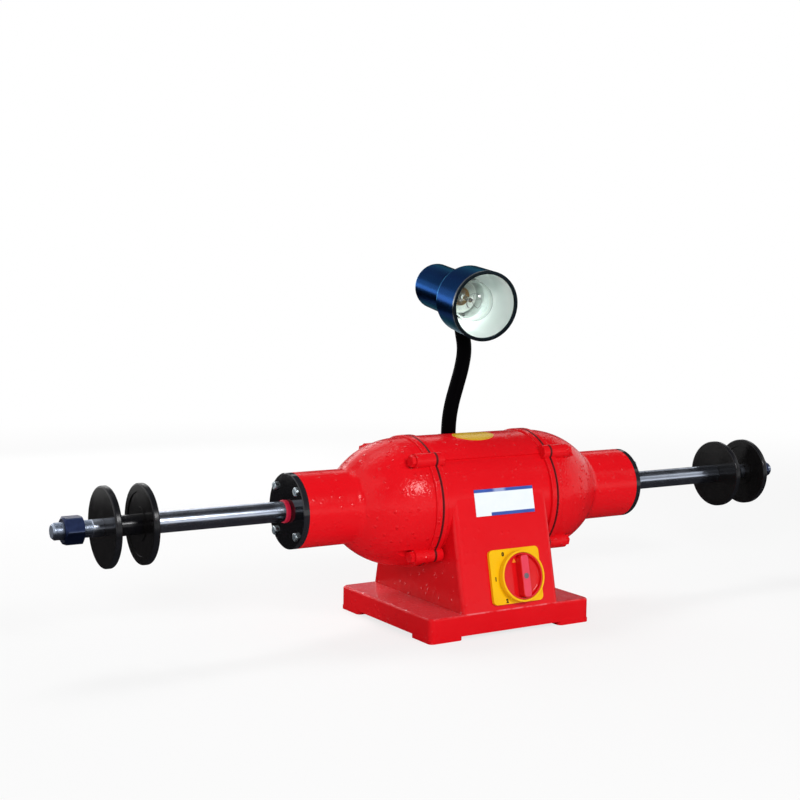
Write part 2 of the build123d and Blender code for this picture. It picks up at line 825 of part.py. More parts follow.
# Bottom plate, terminal block and cable gland
with BuildPart() as bottom_plate:
    plate_length = 2 * (pedestal_half - bottom_plate_inset)
    plate_depth = 2 * (half_depth - casting_wall + bottom_plate_lap)
    with BuildSketch(Plane.XY.offset(foot_height)):
        Rectangle(plate_length, plate_depth)
        with GridLocations(bottom_screw_pitch, 2 * bottom_screw_y, 2, 2):
            Circle(bottom_screw_radius + swivel_gap, mode=Mode.SUBTRACT)
    extrude(amount=-bottom_plate_thickness)
save(bottom_plate.part, "bottom_plate")

with BuildPart() as bottom_plate_screws:
    with BuildSketch(Plane.XY.offset(foot_height - bottom_plate_thickness)):
        with GridLocations(bottom_screw_pitch, 2 * bottom_screw_y, 2, 2):
            Circle(bottom_screw_head_radius)
    extrude(amount=-bottom_screw_head_height)
    with BuildSketch(Plane.XY.offset(foot_height - bottom_plate_thickness)):
        with GridLocations(bottom_screw_pitch, 2 * bottom_screw_y, 2, 2):
            Circle(bottom_screw_radius)
    extrude(amount=bottom_plate_thickness + bottom_screw_reach)
save(bottom_plate_screws.part, "bottom_plate_screws")

with BuildPart() as terminal_block:
    with BuildSketch(Plane.XY.offset(foot_height)):
        with Locations((0, terminal_y)):
            Rectangle(terminal_length, terminal_depth)
    extrude(amount=terminal_height)
    terminal_count = int(terminal_length // terminal_pitch)
    with BuildSketch(Plane.XY.offset(foot_height + terminal_height)):
        with Locations((0, terminal_y)):
            with GridLocations(terminal_pitch, terminal_depth / 2, terminal_count, 2):
                Circle(terminal_well_radius)
    extrude(amount=-terminal_well_depth, mode=Mode.SUBTRACT)
save(terminal_block.part, "terminal_block")

with BuildPart() as cable_gland:
    gland_plane = rear_plane(gland_x, base_height + gland_rise)
    with BuildSketch(gland_plane):
        RegularPolygon(gland_across_flats / 2, 6, major_radius=False)
    extrude(amount=gland_flange)
    with BuildSketch(gland_plane.offset(gland_flange)):
        Circle(gland_cap_radius)
    extrude(amount=gland_cap_length)
    gland_end = cable_gland.faces().sort_by(Axis(gland_plane.origin, gland_plane.z_dir))[-1]
    fillet(gland_end.edges(), gland_cap_round)
    upright(gland_plane.offset(-gland_tail), gland_radius, gland_tail)
    gland_span = gland_tail + gland_flange + gland_cap_length
    upright(gland_plane.offset(-gland_tail), gland_bore_radius, gland_span, Mode.SUBTRACT)
save(cable_gland.part, "cable_gland")

# Gooseneck: a chain of ball and cup joints, cut where the neck bends
def neck_step(lean_degrees, length):
    """The step from one joint of the neck to the next, in the plane of its curve."""
    return Vector(length * sin(radians(lean_degrees)), 0, length * cos(radians(lean_degrees)))


neck_foot = Vector(lamp_x, lamp_y, lamp_foot)
neck_joints = [neck_foot + Vector(0, 0, neck_stub)]
for neck_lean in neck_leans:
    neck_joints.append(neck_joints[-1] + neck_step(neck_lean, neck_pitch))

with BuildPart() as lamp_lock_nut:
    with BuildSketch(Plane.XY.offset(boss_top)):
        with Locations((lamp_x, lamp_y)):
            RegularPolygon(lock_nut_across_flats / 2, 6, major_radius=False)
            Circle(tail_radius + slide_gap, mode=Mode.SUBTRACT)
    extrude(amount=lock_nut_height)
save(lamp_lock_nut.part, "lamp_lock_nut")

with BuildPart() as lamp_neck_base:
    upright(tuple(neck_foot), gooseneck_radius, neck_stub)
    with Locations(neck_joints[0]):
        Sphere(gooseneck_radius)
    upright((lamp_x, lamp_y, lamp_foot - tail_length), tail_radius, tail_length)
save(lamp_neck_base.part, "lamp_neck_base")

for number, (below, above) in enumerate(zip(neck_joints, neck_joints[1:]), 1):
    with BuildPart() as neck_segment:
        upright(Plane(origin=below, z_dir=above - below), gooseneck_radius, neck_pitch)
        with Locations(above):
            Sphere(gooseneck_radius)
        with Locations(below):
            Sphere(gooseneck_radius + swivel_gap, mode=Mode.SUBTRACT)
    save(neck_segment.part, f"neck_segment_{number}")

# Lamp head
lamp_facing = Vector(
    sin(radians(lamp_turn)) * cos(radians(lamp_dip)),
    -cos(radians(lamp_turn)) * cos(radians(lamp_dip)),
    sin(radians(lamp_dip)),
)
ferrule_foot = neck_joints[-1]
ferrule_step = neck_step(ferrule_lean, ferrule_length)
lamp_rim = ferrule_foot + ferrule_step + lamp_facing * ferrule_station
lamp_back = -lamp_facing
lamp_plane = Plane(origin=lamp_rim, z_dir=lamp_back)
lamp_axis = Axis(lamp_rim, lamp_back)
lamp_profile = Plane(origin=lamp_rim, x_dir=lamp_back, z_dir=lamp_back.cross(Vector(0, 0, 1)))

with BuildPart() as lamp_ferrule:
    ferrule_plane = Plane(origin=ferrule_foot, z_dir=ferrule_step)
    upright(ferrule_plane, gooseneck_radius, ferrule_length)
    with Locations(ferrule_foot):
        Sphere(gooseneck_radius + swivel_gap, mode=Mode.SUBTRACT)
    upright(lamp_plane, housing_radius + slide_gap, housing_end, Mode.SUBTRACT)
    nipple_start = ferrule_length - housing_radius - nipple_reach
    upright(ferrule_plane.offset(nipple_start), nipple_radius, 2 * nipple_reach)
save(lamp_ferrule.part, "lamp_ferrule")

with BuildPart() as lamp_housing:
    upright(lamp_plane.offset(housing_start), housing_radius, housing_length)
    fillet(lamp_housing.faces().sort_by(lamp_axis)[-1].edges(), housing_round)
    offset(amount=-housing_wall, openings=lamp_housing.faces().sort_by(lamp_axis)[0])
    upright(ferrule_plane, nipple_radius + slide_gap, ferrule_length, Mode.SUBTRACT)
save(lamp_housing.part, "lamp_housing")

with BuildPart() as lamp_shade:
    with BuildSketch(lamp_profile) as shade_profile:
        with BuildLine():
            Polyline(
                (0, shade_radius),
                (shade_depth, shade_back_radius),
                (shade_depth + shade_shoulder, collar_radius),
                (shade_end, collar_radius),
                (shade_end, collar_radius - shade_wall),
                (shade_depth + shade_shoulder - shade_wall, collar_radius - shade_wall),
                (shade_depth - shade_wall, shade_back_radius - shade_wall),
                (0, shade_radius - shade_wall),
                close=True,
            )
        make_face()
        outer_corner = shade_profile.vertices().sort_by_distance((shade_depth, shade_back_radius, 0))[0]
        fillet(outer_corner, shade_shoulder_round)
        inner_place = (shade_depth - shade_wall, shade_back_radius - shade_wall, 0)
        inner_corner = shade_profile.vertices().sort_by_distance(inner_place)[0]
        fillet(inner_corner, shade_shoulder_round - shade_wall)
        with Locations((0, shade_radius)):
            RectangleRounded(
                rim_bead_width, rim_bead_height, rim_bead_round, align=(Align.MIN, Align.MAX)
            )
    revolve(axis=lamp_axis)
save(lamp_shade.part, "lamp_shade")

with BuildPart() as lamp_holder:
    holder_length = housing_end - housing_wall - holder_start
    upright(lamp_plane.offset(holder_start), holder_radius, holder_length)
    upright(lamp_plane.offset(holder_start), holder_skirt_radius, holder_skirt_length)
    socket_depth = bulb_neck + bulb_cap_length + bulb_contact_length - holder_start
    upright(lamp_plane.offset(holder_start), bulb_cap_radius + swivel_gap, socket_depth, Mode.SUBTRACT)
save(lamp_holder.part, "lamp_holder")

with BuildPart() as bulb_cap:
    upright(lamp_plane.offset(bulb_neck), bulb_cap_radius, bulb_cap_length)
    cap_hollow = bulb_cap_length - 2 * bulb_cap_wall
    upright(lamp_plane.offset(bulb_neck), bulb_neck_radius - bulb_cap_wall, cap_hollow, Mode.SUBTRACT)
    upright(lamp_plane.offset(bulb_neck + bulb_cap_length), bulb_contact_radius, bulb_contact_length)
save(bulb_cap.part, "bulb_cap")


def bulb_form(shrink):
    """A ball that narrows in a straight cone to the neck, drawn in by shrink."""
    ball_radius_here = bulb_radius - shrink
    neck_radius_here = bulb_neck_radius - shrink
    ball_place = bulb_start + bulb_radius
    reach = bulb_neck - ball_place
    tangent = atan2(neck_radius_here, reach) + acos(ball_radius_here / hypot(reach, neck_radius_here))
    waist_t = ball_place + ball_radius_here * cos(tangent)
    waist_r = ball_radius_here * sin(tangent)
    half_way = (tangent + pi) / 2
    crown = (ball_place + ball_radius_here * cos(half_way), ball_radius_here * sin(half_way))
    with BuildPart() as form:
        with BuildSketch(lamp_profile):
            with BuildLine():
                ThreePointArc((waist_t, waist_r), crown, (ball_place - ball_radius_here, 0))
                Polyline(
                    (ball_place - ball_radius_here, 0),
                    (bulb_neck, 0),
                    (bulb_neck, neck_radius_here),
                    (waist_t, waist_r),
                )
            make_face()
        revolve(axis=lamp_axis)
    return form.part


with BuildPart() as bulb_glass:
    add(bulb_form(0))
    add(bulb_form(bulb_wall), mode=Mode.SUBTRACT)
save(bulb_glass.part, "bulb_glass")
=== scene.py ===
# %% [markdown]
# # Dressing a double-ended polishing machine
#
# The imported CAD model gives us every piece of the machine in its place: the cast body, the two end
# bells, the shaft with its flanges and nuts, the switch and the lamp. In this lesson we look at it
# through the camera of the photograph, give each piece a finish made of shader nodes, and model the few
# things that the CAD model leaves plain: the threads, the sleeve of the bending neck, the lamp's
# filament and the dial marks.

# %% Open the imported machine
import json
import math

import bpy
from mathutils import Matrix, Vector

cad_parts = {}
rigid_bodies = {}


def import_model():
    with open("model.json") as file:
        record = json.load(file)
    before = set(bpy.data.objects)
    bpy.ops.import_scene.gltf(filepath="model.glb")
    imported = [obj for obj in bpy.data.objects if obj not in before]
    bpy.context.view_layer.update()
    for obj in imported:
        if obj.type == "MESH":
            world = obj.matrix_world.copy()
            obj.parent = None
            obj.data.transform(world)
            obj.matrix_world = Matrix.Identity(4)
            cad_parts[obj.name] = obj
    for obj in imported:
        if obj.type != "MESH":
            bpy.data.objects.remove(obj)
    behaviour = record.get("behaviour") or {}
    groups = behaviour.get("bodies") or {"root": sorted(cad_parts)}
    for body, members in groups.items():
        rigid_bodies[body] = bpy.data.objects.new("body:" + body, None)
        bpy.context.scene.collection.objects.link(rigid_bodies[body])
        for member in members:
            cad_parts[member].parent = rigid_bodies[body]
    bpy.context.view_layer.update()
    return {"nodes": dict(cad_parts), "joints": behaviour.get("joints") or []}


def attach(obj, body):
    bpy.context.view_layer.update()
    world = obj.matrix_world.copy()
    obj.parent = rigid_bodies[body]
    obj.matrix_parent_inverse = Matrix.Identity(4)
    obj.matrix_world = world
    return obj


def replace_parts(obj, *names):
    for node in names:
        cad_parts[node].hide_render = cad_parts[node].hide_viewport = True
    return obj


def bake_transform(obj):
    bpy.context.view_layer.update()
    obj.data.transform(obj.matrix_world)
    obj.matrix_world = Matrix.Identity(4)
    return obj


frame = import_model()
nodes = frame["nodes"]
scene = bpy.context.scene
scene.view_settings.view_transform = "Standard"

# %% [markdown]
# ## Places that several steps share
#
# The machine stands on the bench at height zero and its shaft runs along X. The switch and the
# nameplate sit on the pedestal's front, which leans back a little, and the lamp looks down to the
# front. A matrix for each of these places lets us model a piece flat at the origin and set it down in
# one move. The frame's joints tell where the neck bends, and the lamp sits on the ferrule above the
# last bend.

# %% Frames of the spindle, the front face and the lamp
AXIS_HEIGHT = 0.158
BARREL_REACH = 0.0797
BASE_HALF_DEPTH = 0.110
BASE_HEIGHT = 0.031
RISE = AXIS_HEIGHT - BASE_HEIGHT
SLANT = math.hypot(BASE_HALF_DEPTH, RISE)
FACE_LEAN = math.atan2(BASE_HALF_DEPTH, RISE) - math.asin(BARREL_REACH / SLANT)
SEAM = 0.088


def frame_at(origin, right, outward):
    """A frame with its X to the right and its Z outward, as a matrix."""
    z_axis = Vector(outward).normalized()
    x_axis = Vector(right).normalized()
    y_axis = z_axis.cross(x_axis).normalized()
    x_axis = y_axis.cross(z_axis)
    turn = Matrix((x_axis, y_axis, z_axis)).transposed().to_4x4()
    return Matrix.Translation(Vector(origin)) @ turn


def face_frame(x, z):
    """A frame on the pedestal's leaning front face, looking out of it."""
    y = -BASE_HALF_DEPTH + (z - BASE_HEIGHT) * math.tan(FACE_LEAN)
    return frame_at((x, y, z), (1, 0, 0), (0, -math.cos(FACE_LEAN), math.sin(FACE_LEAN)))


SPINDLE_FRAME = frame_at((0, 0, AXIS_HEIGHT), (0, 0, -1), (1, 0, 0))
SWITCH_FRAME = face_frame(x=0.0135, z=0.069)
SWITCH_TURN = SWITCH_FRAME.to_3x3().to_4x4()
NAMEPLATE_FRAME = face_frame(x=0.005, z=0.162)
NECK_JOINTS = [joint for joint in frame["joints"] if joint["name"].startswith("neck_bend")]
NECK_BENDS = [Vector(joint["pos_m"]) for joint in NECK_JOINTS]
NECK_BODIES = [NECK_JOINTS[0]["parent"], *(joint["child"] for joint in NECK_JOINTS)]
FERRULE_LEAN = math.radians(-9.3)
FERRULE_LINE = Vector((math.sin(FERRULE_LEAN), 0, math.cos(FERRULE_LEAN)))
FERRULE_LENGTH = 0.0475
LAMP_SWING = math.radians(-8)
LAMP_DIP = math.radians(-9)
LAMP_REACH = 0.084
LAMP_LEVEL = Vector((math.sin(LAMP_SWING), -math.cos(LAMP_SWING), 0))
LAMP_FACING = LAMP_LEVEL * math.cos(LAMP_DIP) + Vector((0, 0, math.sin(LAMP_DIP)))
LAMP_RIM = NECK_BENDS[-1] + FERRULE_LINE * FERRULE_LENGTH + LAMP_FACING * LAMP_REACH
LAMP_FRAME = frame_at(LAMP_RIM, LAMP_FACING.cross(Vector((0, 0, 1))), -LAMP_FACING)
print("the front face leans", round(math.degrees(FACE_LEAN), 2), "degrees")

# %% [markdown]
# ## The camera
#
# The photograph is taken from the left front at about the height of the lamp, with a medium long lens.
# The place and the turn were worked out from where the flanges, the base and the bells fall in the
# picture.

# %% Set up the camera
CAMERA_PLACE = (-1.03853, -1.51889, 0.44803)
YAW, PITCH, ROLL = 0.553, 0.090, -0.011
SENSOR_WIDTH = 36.0
LENS = 64.02

bpy.ops.object.select_all(action="DESELECT")
bpy.ops.object.camera_add()
camera = bpy.context.object
camera.name = "photo_camera"
camera.data.sensor_width = SENSOR_WIDTH
camera.data.lens = LENS
forward = Vector((math.sin(YAW) * math.cos(PITCH), math.cos(YAW) * math.cos(PITCH), -math.sin(PITCH)))
level_right = Vector((math.cos(YAW), -math.sin(YAW), 0))
camera_right = math.cos(ROLL) * level_right + math.sin(ROLL) * forward.cross(level_right)
camera.matrix_world = frame_at(CAMERA_PLACE, camera_right, -forward)
scene.camera = camera
print("camera looks along", [round(c, 3) for c in forward])

# %% [markdown]
# ## Expressions for shader nodes
#
# A finish is a small sum of noises, masks and colours. Wiring each node by hand hides that sum, so one
# class wraps a socket and lets us write the sum in Python. Every other node comes from its `node`
# method.


# %% A socket that takes part in sums
class Signal:
    """A socket in a node tree that can be added, scaled and compared like a number."""

    def __init__(self, tree, socket=None):
        self.tree = tree
        self.socket = socket

    def node(self, kind, settings=(), sockets=(), out=0):
        """Add a node with its settings, then its values or links, and give one of its outputs."""
        made = self.tree.nodes.new(kind)
        for name, value in dict(settings).items():
            setattr(made, name, value)
        for key, value in dict(sockets).items():
            if isinstance(value, Signal):
                self.tree.links.new(value.socket, made.inputs[key])
            else:
                made.inputs[key].default_value = value
        return Signal(self.tree, made.outputs[out] if made.outputs else None)

    def output(self, name):
        """Another output of the node that this socket belongs to."""
        return Signal(self.tree, self.socket.node.outputs[name])

    def math(self, operation, *values):
        return self.node("ShaderNodeMath", {"operation": operation}, enumerate(values))

    def __add__(self, other):
        return self.math("ADD", self, other)

    def __sub__(self, other):
        return self.math("SUBTRACT", self, other)

    def __rsub__(self, other):
        return self.math("SUBTRACT", other, self)

    def __mul__(self, other):
        return self.math("MULTIPLY", self, other)

    def __pow__(self, other):
        return self.math("POWER", self, other)

    def __abs__(self):
        return self.math("ABSOLUTE", self)

    def __or__(self, other):
        return self.math("MAXIMUM", self, other)

    __radd__ = __add__
    __rmul__ = __mul__


# %% [markdown]
# A few words of our own keep the finishes short: a rise from 0 to 1 between two values, a mixed colour,
# a noise of a given grain, a raised surface, and the place of a point as one of our frames sees it.


# %% Words for the finishes
def new_finish(name):
    """Start a material and give it with the place of each point on its piece."""
    material = bpy.data.materials.new(name)
    material.use_nodes = True
    material.node_tree.nodes.clear()
    return material, Signal(material.node_tree).node("ShaderNodeTexCoord", out="Object")


def surface(place, **sockets):
    """End a finish with its shader. Names of sockets are written with underscores."""
    inputs = {name.replace("_", " "): value for name, value in sockets.items()}
    shader = place.node("ShaderNodeBsdfPrincipled", (), inputs)
    place.node("ShaderNodeOutputMaterial", (), {"Surface": shader})


def axes_of(vector):
    x = vector.node("ShaderNodeSeparateXYZ", (), {0: vector})
    return x, x.output("Y"), x.output("Z")


def rise(value, low, high):
    """0 below low, 1 above high and a smooth slope between them."""
    sockets = {"Value": value, "From Min": low, "From Max": high}
    return value.node("ShaderNodeMapRange", {"interpolation_type": "SMOOTHSTEP"}, sockets)


def mixed(share, first, second):
    """A colour between two: the first at share 0 and the second at share 1."""
    sockets = {0: share, 6: (*first, 1) if isinstance(first, tuple) else first}
    sockets[7] = (*second, 1) if isinstance(second, tuple) else second
    return share.node("ShaderNodeMix", {"data_type": "RGBA"}, sockets, out=2)


def stretched(place, by):
    return place.node("ShaderNodeVectorMath", {"operation": "MULTIPLY"}, {0: place, 1: by})


def noise(place, grain, detail=2.0):
    """Cloudy noise from 0 to 1 whose lumps are about one grain apart, in metres."""
    return place.node("ShaderNodeTexNoise", (), {"Vector": place, "Scale": 1 / grain, "Detail": detail})


def raised(height, depth):
    """A normal for a surface whose height runs from 0 to depth, in metres."""
    return height.node("ShaderNodeBump", (), {"Height": height, "Distance": depth})


def seen_from(place, view_frame):
    """The place of a point as a frame sees it."""
    location, turn, _ = view_frame.decompose()
    sockets = {"Vector": place, "Location": location, "Rotation": turn.to_euler()}
    return place.node("ShaderNodeMapping", {"vector_type": "TEXTURE"}, sockets)


def distance_from_axis(first, second):
    return (first * first + second * second) ** 0.5


def dress(finish, *names):
    """Give a finish to CAD nodes."""
    for name in names:
        for material_slot in nodes[name].material_slots:
            material_slot.material = finish


def both(*names):
    """The left and the right piece of each name."""
    return [f"{side}_{name}" for name in names for side in ("left", "right")]


# %% [markdown]
# ## Studio
#
# The photograph shows the machine cut out on plain white in soft light. A pale floor and a white world
# make the ground, and both show as white to the camera, in gloss and through glass. The lamps alone
# shape the machine: a key lamp to the front right, small enough to leave clear highlights on paint, a
# fill to the front left that adds no highlight of its own, one above, and behind the machine a low
# strip with a fainter glow over it. Those two draw the bright line along the lamp's housing and let it
# fade upward.

# %% Floor
FLOOR_SIZE = 16
FLOOR_DROP = 0.0004
FLOOR_WHITE = 0.76

bpy.ops.mesh.primitive_plane_add(size=FLOOR_SIZE, location=(0, 0, -FLOOR_DROP))
floor = bpy.context.object
floor.name = "studio_floor"
floor_finish, place = new_finish("studio_floor_white")
x, y, _ = axes_of(place)
far = rise(distance_from_axis(x, y), 0.9, 2.6)
seen = place.node("ShaderNodeLightPath", out="Is Camera Ray")
shown = seen | seen.output("Is Glossy Ray") | seen.output("Is Transmission Ray")
lit = place.node("ShaderNodeBsdfDiffuse", (), {"Color": (0.82, 0.82, 0.82, 1)})
glow = place.node("ShaderNodeEmission", (), {"Color": (1, 1, 1, 1), "Strength": 1.0})
share = shown * (FLOOR_WHITE + far * (1 - FLOOR_WHITE))
ground = place.node("ShaderNodeMixShader", (), {0: share, 1: lit, 2: glow})
place.node("ShaderNodeOutputMaterial", (), {"Surface": ground})
floor.data.materials.append(floor_finish)

# %% World
WORLD_LEVEL = 0.30

world = bpy.data.worlds.new("studio_world")
scene.world = world
world.use_nodes = True
world.node_tree.nodes.clear()
sky = Signal(world.node_tree)
seen = sky.node("ShaderNodeLightPath", out="Is Camera Ray")
shown = seen | seen.output("Is Glossy Ray") | seen.output("Is Transmission Ray")
strength = WORLD_LEVEL + shown * (1 - WORLD_LEVEL)
backdrop = sky.node("ShaderNodeBackground", (), {"Color": (1, 1, 1, 1), "Strength": strength})
sky.node("ShaderNodeOutputWorld", (), {"Surface": backdrop})


# %% Lamps
def soft_lamp(name, place, aim, width, height, power, in_gloss=True):
    bpy.ops.object.light_add(type="AREA")
    lamp = bpy.context.object
    lamp.name = name
    lamp.data.shape = "RECTANGLE"
    lamp.data.size = width
    lamp.data.size_y = height
    lamp.data.energy = power
    lamp.visible_glossy = in_gloss
    toward = Vector(aim) - Vector(place)
    lamp.matrix_world = frame_at(place, toward.cross(Vector((0, 0, 1))), -toward)


soft_lamp("key_lamp", (0.35, -2.7, 1.7), (0, 0, 0.2), width=0.8, height=0.6, power=38)
soft_lamp("fill_lamp", (-1.8, -2.3, 1.3), (-0.1, 0, 0.2), width=0.8, height=0.8, power=28, in_gloss=False)
soft_lamp("top_lamp", (-0.2, 1.0, 2.2), (0, 0, 0.2), width=1.6, height=0.6, power=24)
soft_lamp("strip_lamp", (-0.1, 1.90, 0.55), (-0.1, 0, 0.50), width=1.6, height=0.26, power=9)
soft_lamp("glow_lamp", (-0.1, 1.95, 0.87), (-0.1, 0, 0.50), width=1.6, height=0.38, power=4)

# %% [markdown]
# Polished metal has no look of its own: it shows what stands around it. On white alone it would turn
# white all over. A photographer sets dark boards around the object, so that steel gets its dark band,
# black gloss stays black and red paint keeps its depth. Ours show in reflections only. They throw no
# shadow and take no light from the machine. Three are plain dark and two fade from grey at the bottom
# to dark at the top.

# %% Dark boards for the reflections
dark_grey, place = new_finish("board_dark")
grey = mixed(noise(place, 0.5, 1.0), (0.018, 0.018, 0.020), (0.040, 0.038, 0.040))
dull = place.node("ShaderNodeBsdfDiffuse", (), {"Color": grey})
place.node("ShaderNodeOutputMaterial", (), {"Surface": dull})

fading_grey, place = new_finish("board_fading")
_, up, _ = axes_of(place)
grey = mixed(rise(up, -0.5, 0.1) ** 0.7, (0.62, 0.62, 0.66), (0.030, 0.030, 0.034))
dull = place.node("ShaderNodeBsdfDiffuse", (), {"Color": grey})
place.node("ShaderNodeOutputMaterial", (), {"Surface": dull})


def board(name, middle, width, depth, tilt, finish):
    """A board that lies flat at tilt 0 and stands up at tilt 90, seen in reflections only."""
    bpy.ops.mesh.primitive_plane_add(size=1, location=middle, rotation=(math.radians(tilt), 0, 0))
    made = bpy.context.object
    made.name = name
    made.scale = (width, depth, 1)
    made.visible_camera = False
    made.visible_diffuse = False
    made.visible_transmission = False
    made.visible_shadow = False
    made.data.materials.append(finish)


board("floor_board", (0.2, 0, -0.0002), width=3.6, depth=2.6, tilt=0, finish=dark_grey)
board("ceiling_board", (0.5, 0.125, 1.3), width=2.6, depth=2.15, tilt=0, finish=dark_grey)
board("lamp_board", (-0.05, 0.62, 0.330), width=1.1, depth=0.14, tilt=90, finish=dark_grey)
board("front_board", (0, -3.8, 2.775), width=9.0, depth=4.05, tilt=90, finish=fading_grey)
board("ledge_board", (1.7, 1.9, 0.75), width=1.9, depth=1.1, tilt=90, finish=fading_grey)

# %% [markdown]
# ## Red enamel over sand castings
#
# The body and the bells are iron castings under thick gloss enamel. The paint levels the sand's grain
# to slow waves, and only single grains stand out, as pips that sparkle on the bells. The front of the
# body was dressed flat before painting, so it is calmer there. Along the base's top edges the paint is
# paler, partly from wear and partly as a painted highlight. The tops of the base's ledges are painted
# paler, with pale specks as painted glints, and dirt darkens the joint between the castings. One finish
# covers all of it and reads from the place of a point how rough, how worn and how dirty it is, and where
# the painted light lies.

# %% Enamel for the castings
BASE_HALF_LENGTH = 0.122
PIP_SPACING = 0.009
LUG_REACH = 0.098
NECK_START = 0.150
NECK_SMOOTH = 0.185
PALE_EDGE_REACH = 0.0022
EDGE_LINE = 0.0006

red_enamel, place = new_finish("red_enamel")
x, y, z = axes_of(place)
along = abs(x)
off_axis = distance_from_axis(y, z - AXIS_HEIGHT)
_, normal_y, normal_z = axes_of(place.output("Normal"))
within_lugs = 1 - rise(off_axis, LUG_REACH, LUG_REACH + 0.004)
on_bell = rise(along, SEAM - 0.0005, SEAM + 0.0005) * within_lugs
dressed_front = rise(0 - normal_y, 0.80, 0.97) * (1 - on_bell)
on_neck = rise(along, NECK_START, NECK_SMOOTH)
roughcast = 0.45 + on_bell * (0.55 - on_neck * 0.50) - dressed_front * 0.30
waves = noise(place, 0.020, 1.0)
orange_peel = noise(place, 0.0026, 1.5)
from_grain = place.node("ShaderNodeTexVoronoi", (), {"Vector": place, "Scale": 1 / PIP_SPACING})
grain_there, _, _ = axes_of(from_grain.output("Color"))
pips = (1 - rise(from_grain, 0.03, 0.32)) * rise(grain_there, 0.30, 0.38)
relief = (waves * 1.8 + pips * 1.9 + orange_peel * 0.8) * roughcast
clouds = noise(place, 0.09, 3.0)
paint = mixed(clouds, (0.70, 0.0035, 0.008), (0.78, 0.006, 0.012))
# Paler paint along the base's top edges: partly edge wear, partly a painted highlight on the fillets,
# broken up by noise.
edge_x = rise(along, BASE_HALF_LENGTH - PALE_EDGE_REACH, BASE_HALF_LENGTH - EDGE_LINE)
edge_y = rise(abs(y), BASE_HALF_DEPTH - PALE_EDGE_REACH, BASE_HALF_DEPTH - EDGE_LINE)
upper_edge = (edge_x | edge_y) * rise(z, BASE_HEIGHT - 0.0016, BASE_HEIGHT - 0.0004)
on_base = 1 - rise(z, BASE_HEIGHT + 0.0003, BASE_HEIGHT + 0.0010)
worn_and_highlit_edge = (upper_edge | (edge_x * edge_y)) * on_base * rise(noise(place, 0.012, 3.0), 0.30, 0.60)
# Upward-facing ledge tops of the base are painted paler, with pale specks as painted glints.
painted_ledge_light = rise(normal_z, 0.80, 0.95) * on_base
painted_ledge_glints = rise(noise(place, 0.0028, 2.0), 0.60, 0.70)
paint = mixed(painted_ledge_light * (0.12 + painted_ledge_glints * 0.28), paint, (0.72, 0.26, 0.31))
paint = mixed(worn_and_highlit_edge * 0.6, paint, (0.86, 0.26, 0.29))
joint_line = (1 - rise(abs(along - SEAM), 0.0011, 0.0022)) * within_lugs
paint = mixed(joint_line * 0.9, paint, (0.035, 0.003, 0.004))
gloss = 0.15 + noise(place, 0.02, 3.0) * 0.10 + joint_line * 0.4
surface(
    place,
    Base_Color=paint,
    Roughness=gloss,
    Specular_IOR_Level=0.25,
    Normal=raised(relief, 0.0005),
)
dress(red_enamel, "body_casting", *both("end_bell", "bell_bolts"))

# %% [markdown]
# ## Black covers, flanges and nuts
#
# The bearing covers are gloss black and mirror the shaft. The wheel flanges are turned steel, blackened
# to the same deep gloss, with fine rings from the lathe and a rim that shines where hands and wheels
# rub it. The nuts are blued: the flats stay dark blue and the corners are rubbed bright.

# %% Gloss black of the covers
COVER_RIM = 0.0464
COVER_RUB = 0.0011

cover_black, place = new_finish("cover_black")
_, y, z = axes_of(place)
off_axis = distance_from_axis(y, z - AXIS_HEIGHT)
dust = noise(place, 0.012, 4.0)
rubbed_edge = rise(off_axis, COVER_RIM - COVER_RUB, COVER_RIM)
tone = mixed(rubbed_edge * 0.5, (0.0030, 0.0030, 0.0040), (0.028, 0.028, 0.034))
surface(place, Base_Color=tone, Roughness=0.05 + dust * 0.08, Normal=raised(noise(place, 0.004), 0.00004))
dress(cover_black, *both("bearing_cover"))

# %% Blackened flanges
FLANGE_RIM = 0.0468
FLANGE_RUB = 0.0020
LATHE_RINGS = 5200  # radians of the ring pattern per metre

flange_black, place = new_finish("flange_black")
_, y, z = axes_of(place)
off_axis = distance_from_axis(y, z - AXIS_HEIGHT)
lathe_rings = place.math("SINE", off_axis * LATHE_RINGS)
smear = noise(place, 0.014, 4.0)
rim = rise(off_axis, FLANGE_RIM - FLANGE_RUB, FLANGE_RIM)
tone = mixed(smear, (0.0030, 0.0028, 0.0030), (0.0085, 0.0078, 0.0078))
tone = mixed(rim * smear, tone, (0.010, 0.011, 0.015))
surface(
    place,
    Base_Color=tone,
    Roughness=0.10 + smear * 0.10 + rim * 0.08,
    Specular_IOR_Level=0.3,
    Normal=raised(lathe_rings, 0.000006),
)
dress(flange_black, *both("inner_flange", "outer_flange"))

# %% Blued nuts
NUT_CORNER = 0.0173
CORNER_RUB = 0.0010

nut_blue, place = new_finish("nut_blue")
_, y, z = axes_of(place)
off_axis = distance_from_axis(y, z - AXIS_HEIGHT)
blotch = noise(place, 0.006, 4.0)
corner = rise(off_axis, NUT_CORNER - CORNER_RUB, NUT_CORNER)
tone = mixed(blotch, (0.012, 0.020, 0.060), (0.024, 0.038, 0.105))
tone = mixed(corner * 0.35, tone, (0.16, 0.20, 0.30))
gloss = 0.26 + blotch * 0.16
surface(place, Base_Color=tone, Metallic=0.9, Roughness=gloss, Normal=raised(blotch, 0.00008))
dress(nut_blue, *both("arbor_nut"))

# %% [markdown]
# ## Polished shaft
#
# The shaft is ground bar: a clear mirror along it and a faint haze of rings around it. Its wheel seats
# are painted near black, a painted reflection of the black flanges that stand on either side. We turn a
# new one in Blender, because its ends carry threads that the CAD model leaves plain. A turned piece
# starts as a cylinder whose end face is extruded and scaled from one shoulder to the next, just as the
# tool moves along the lathe.


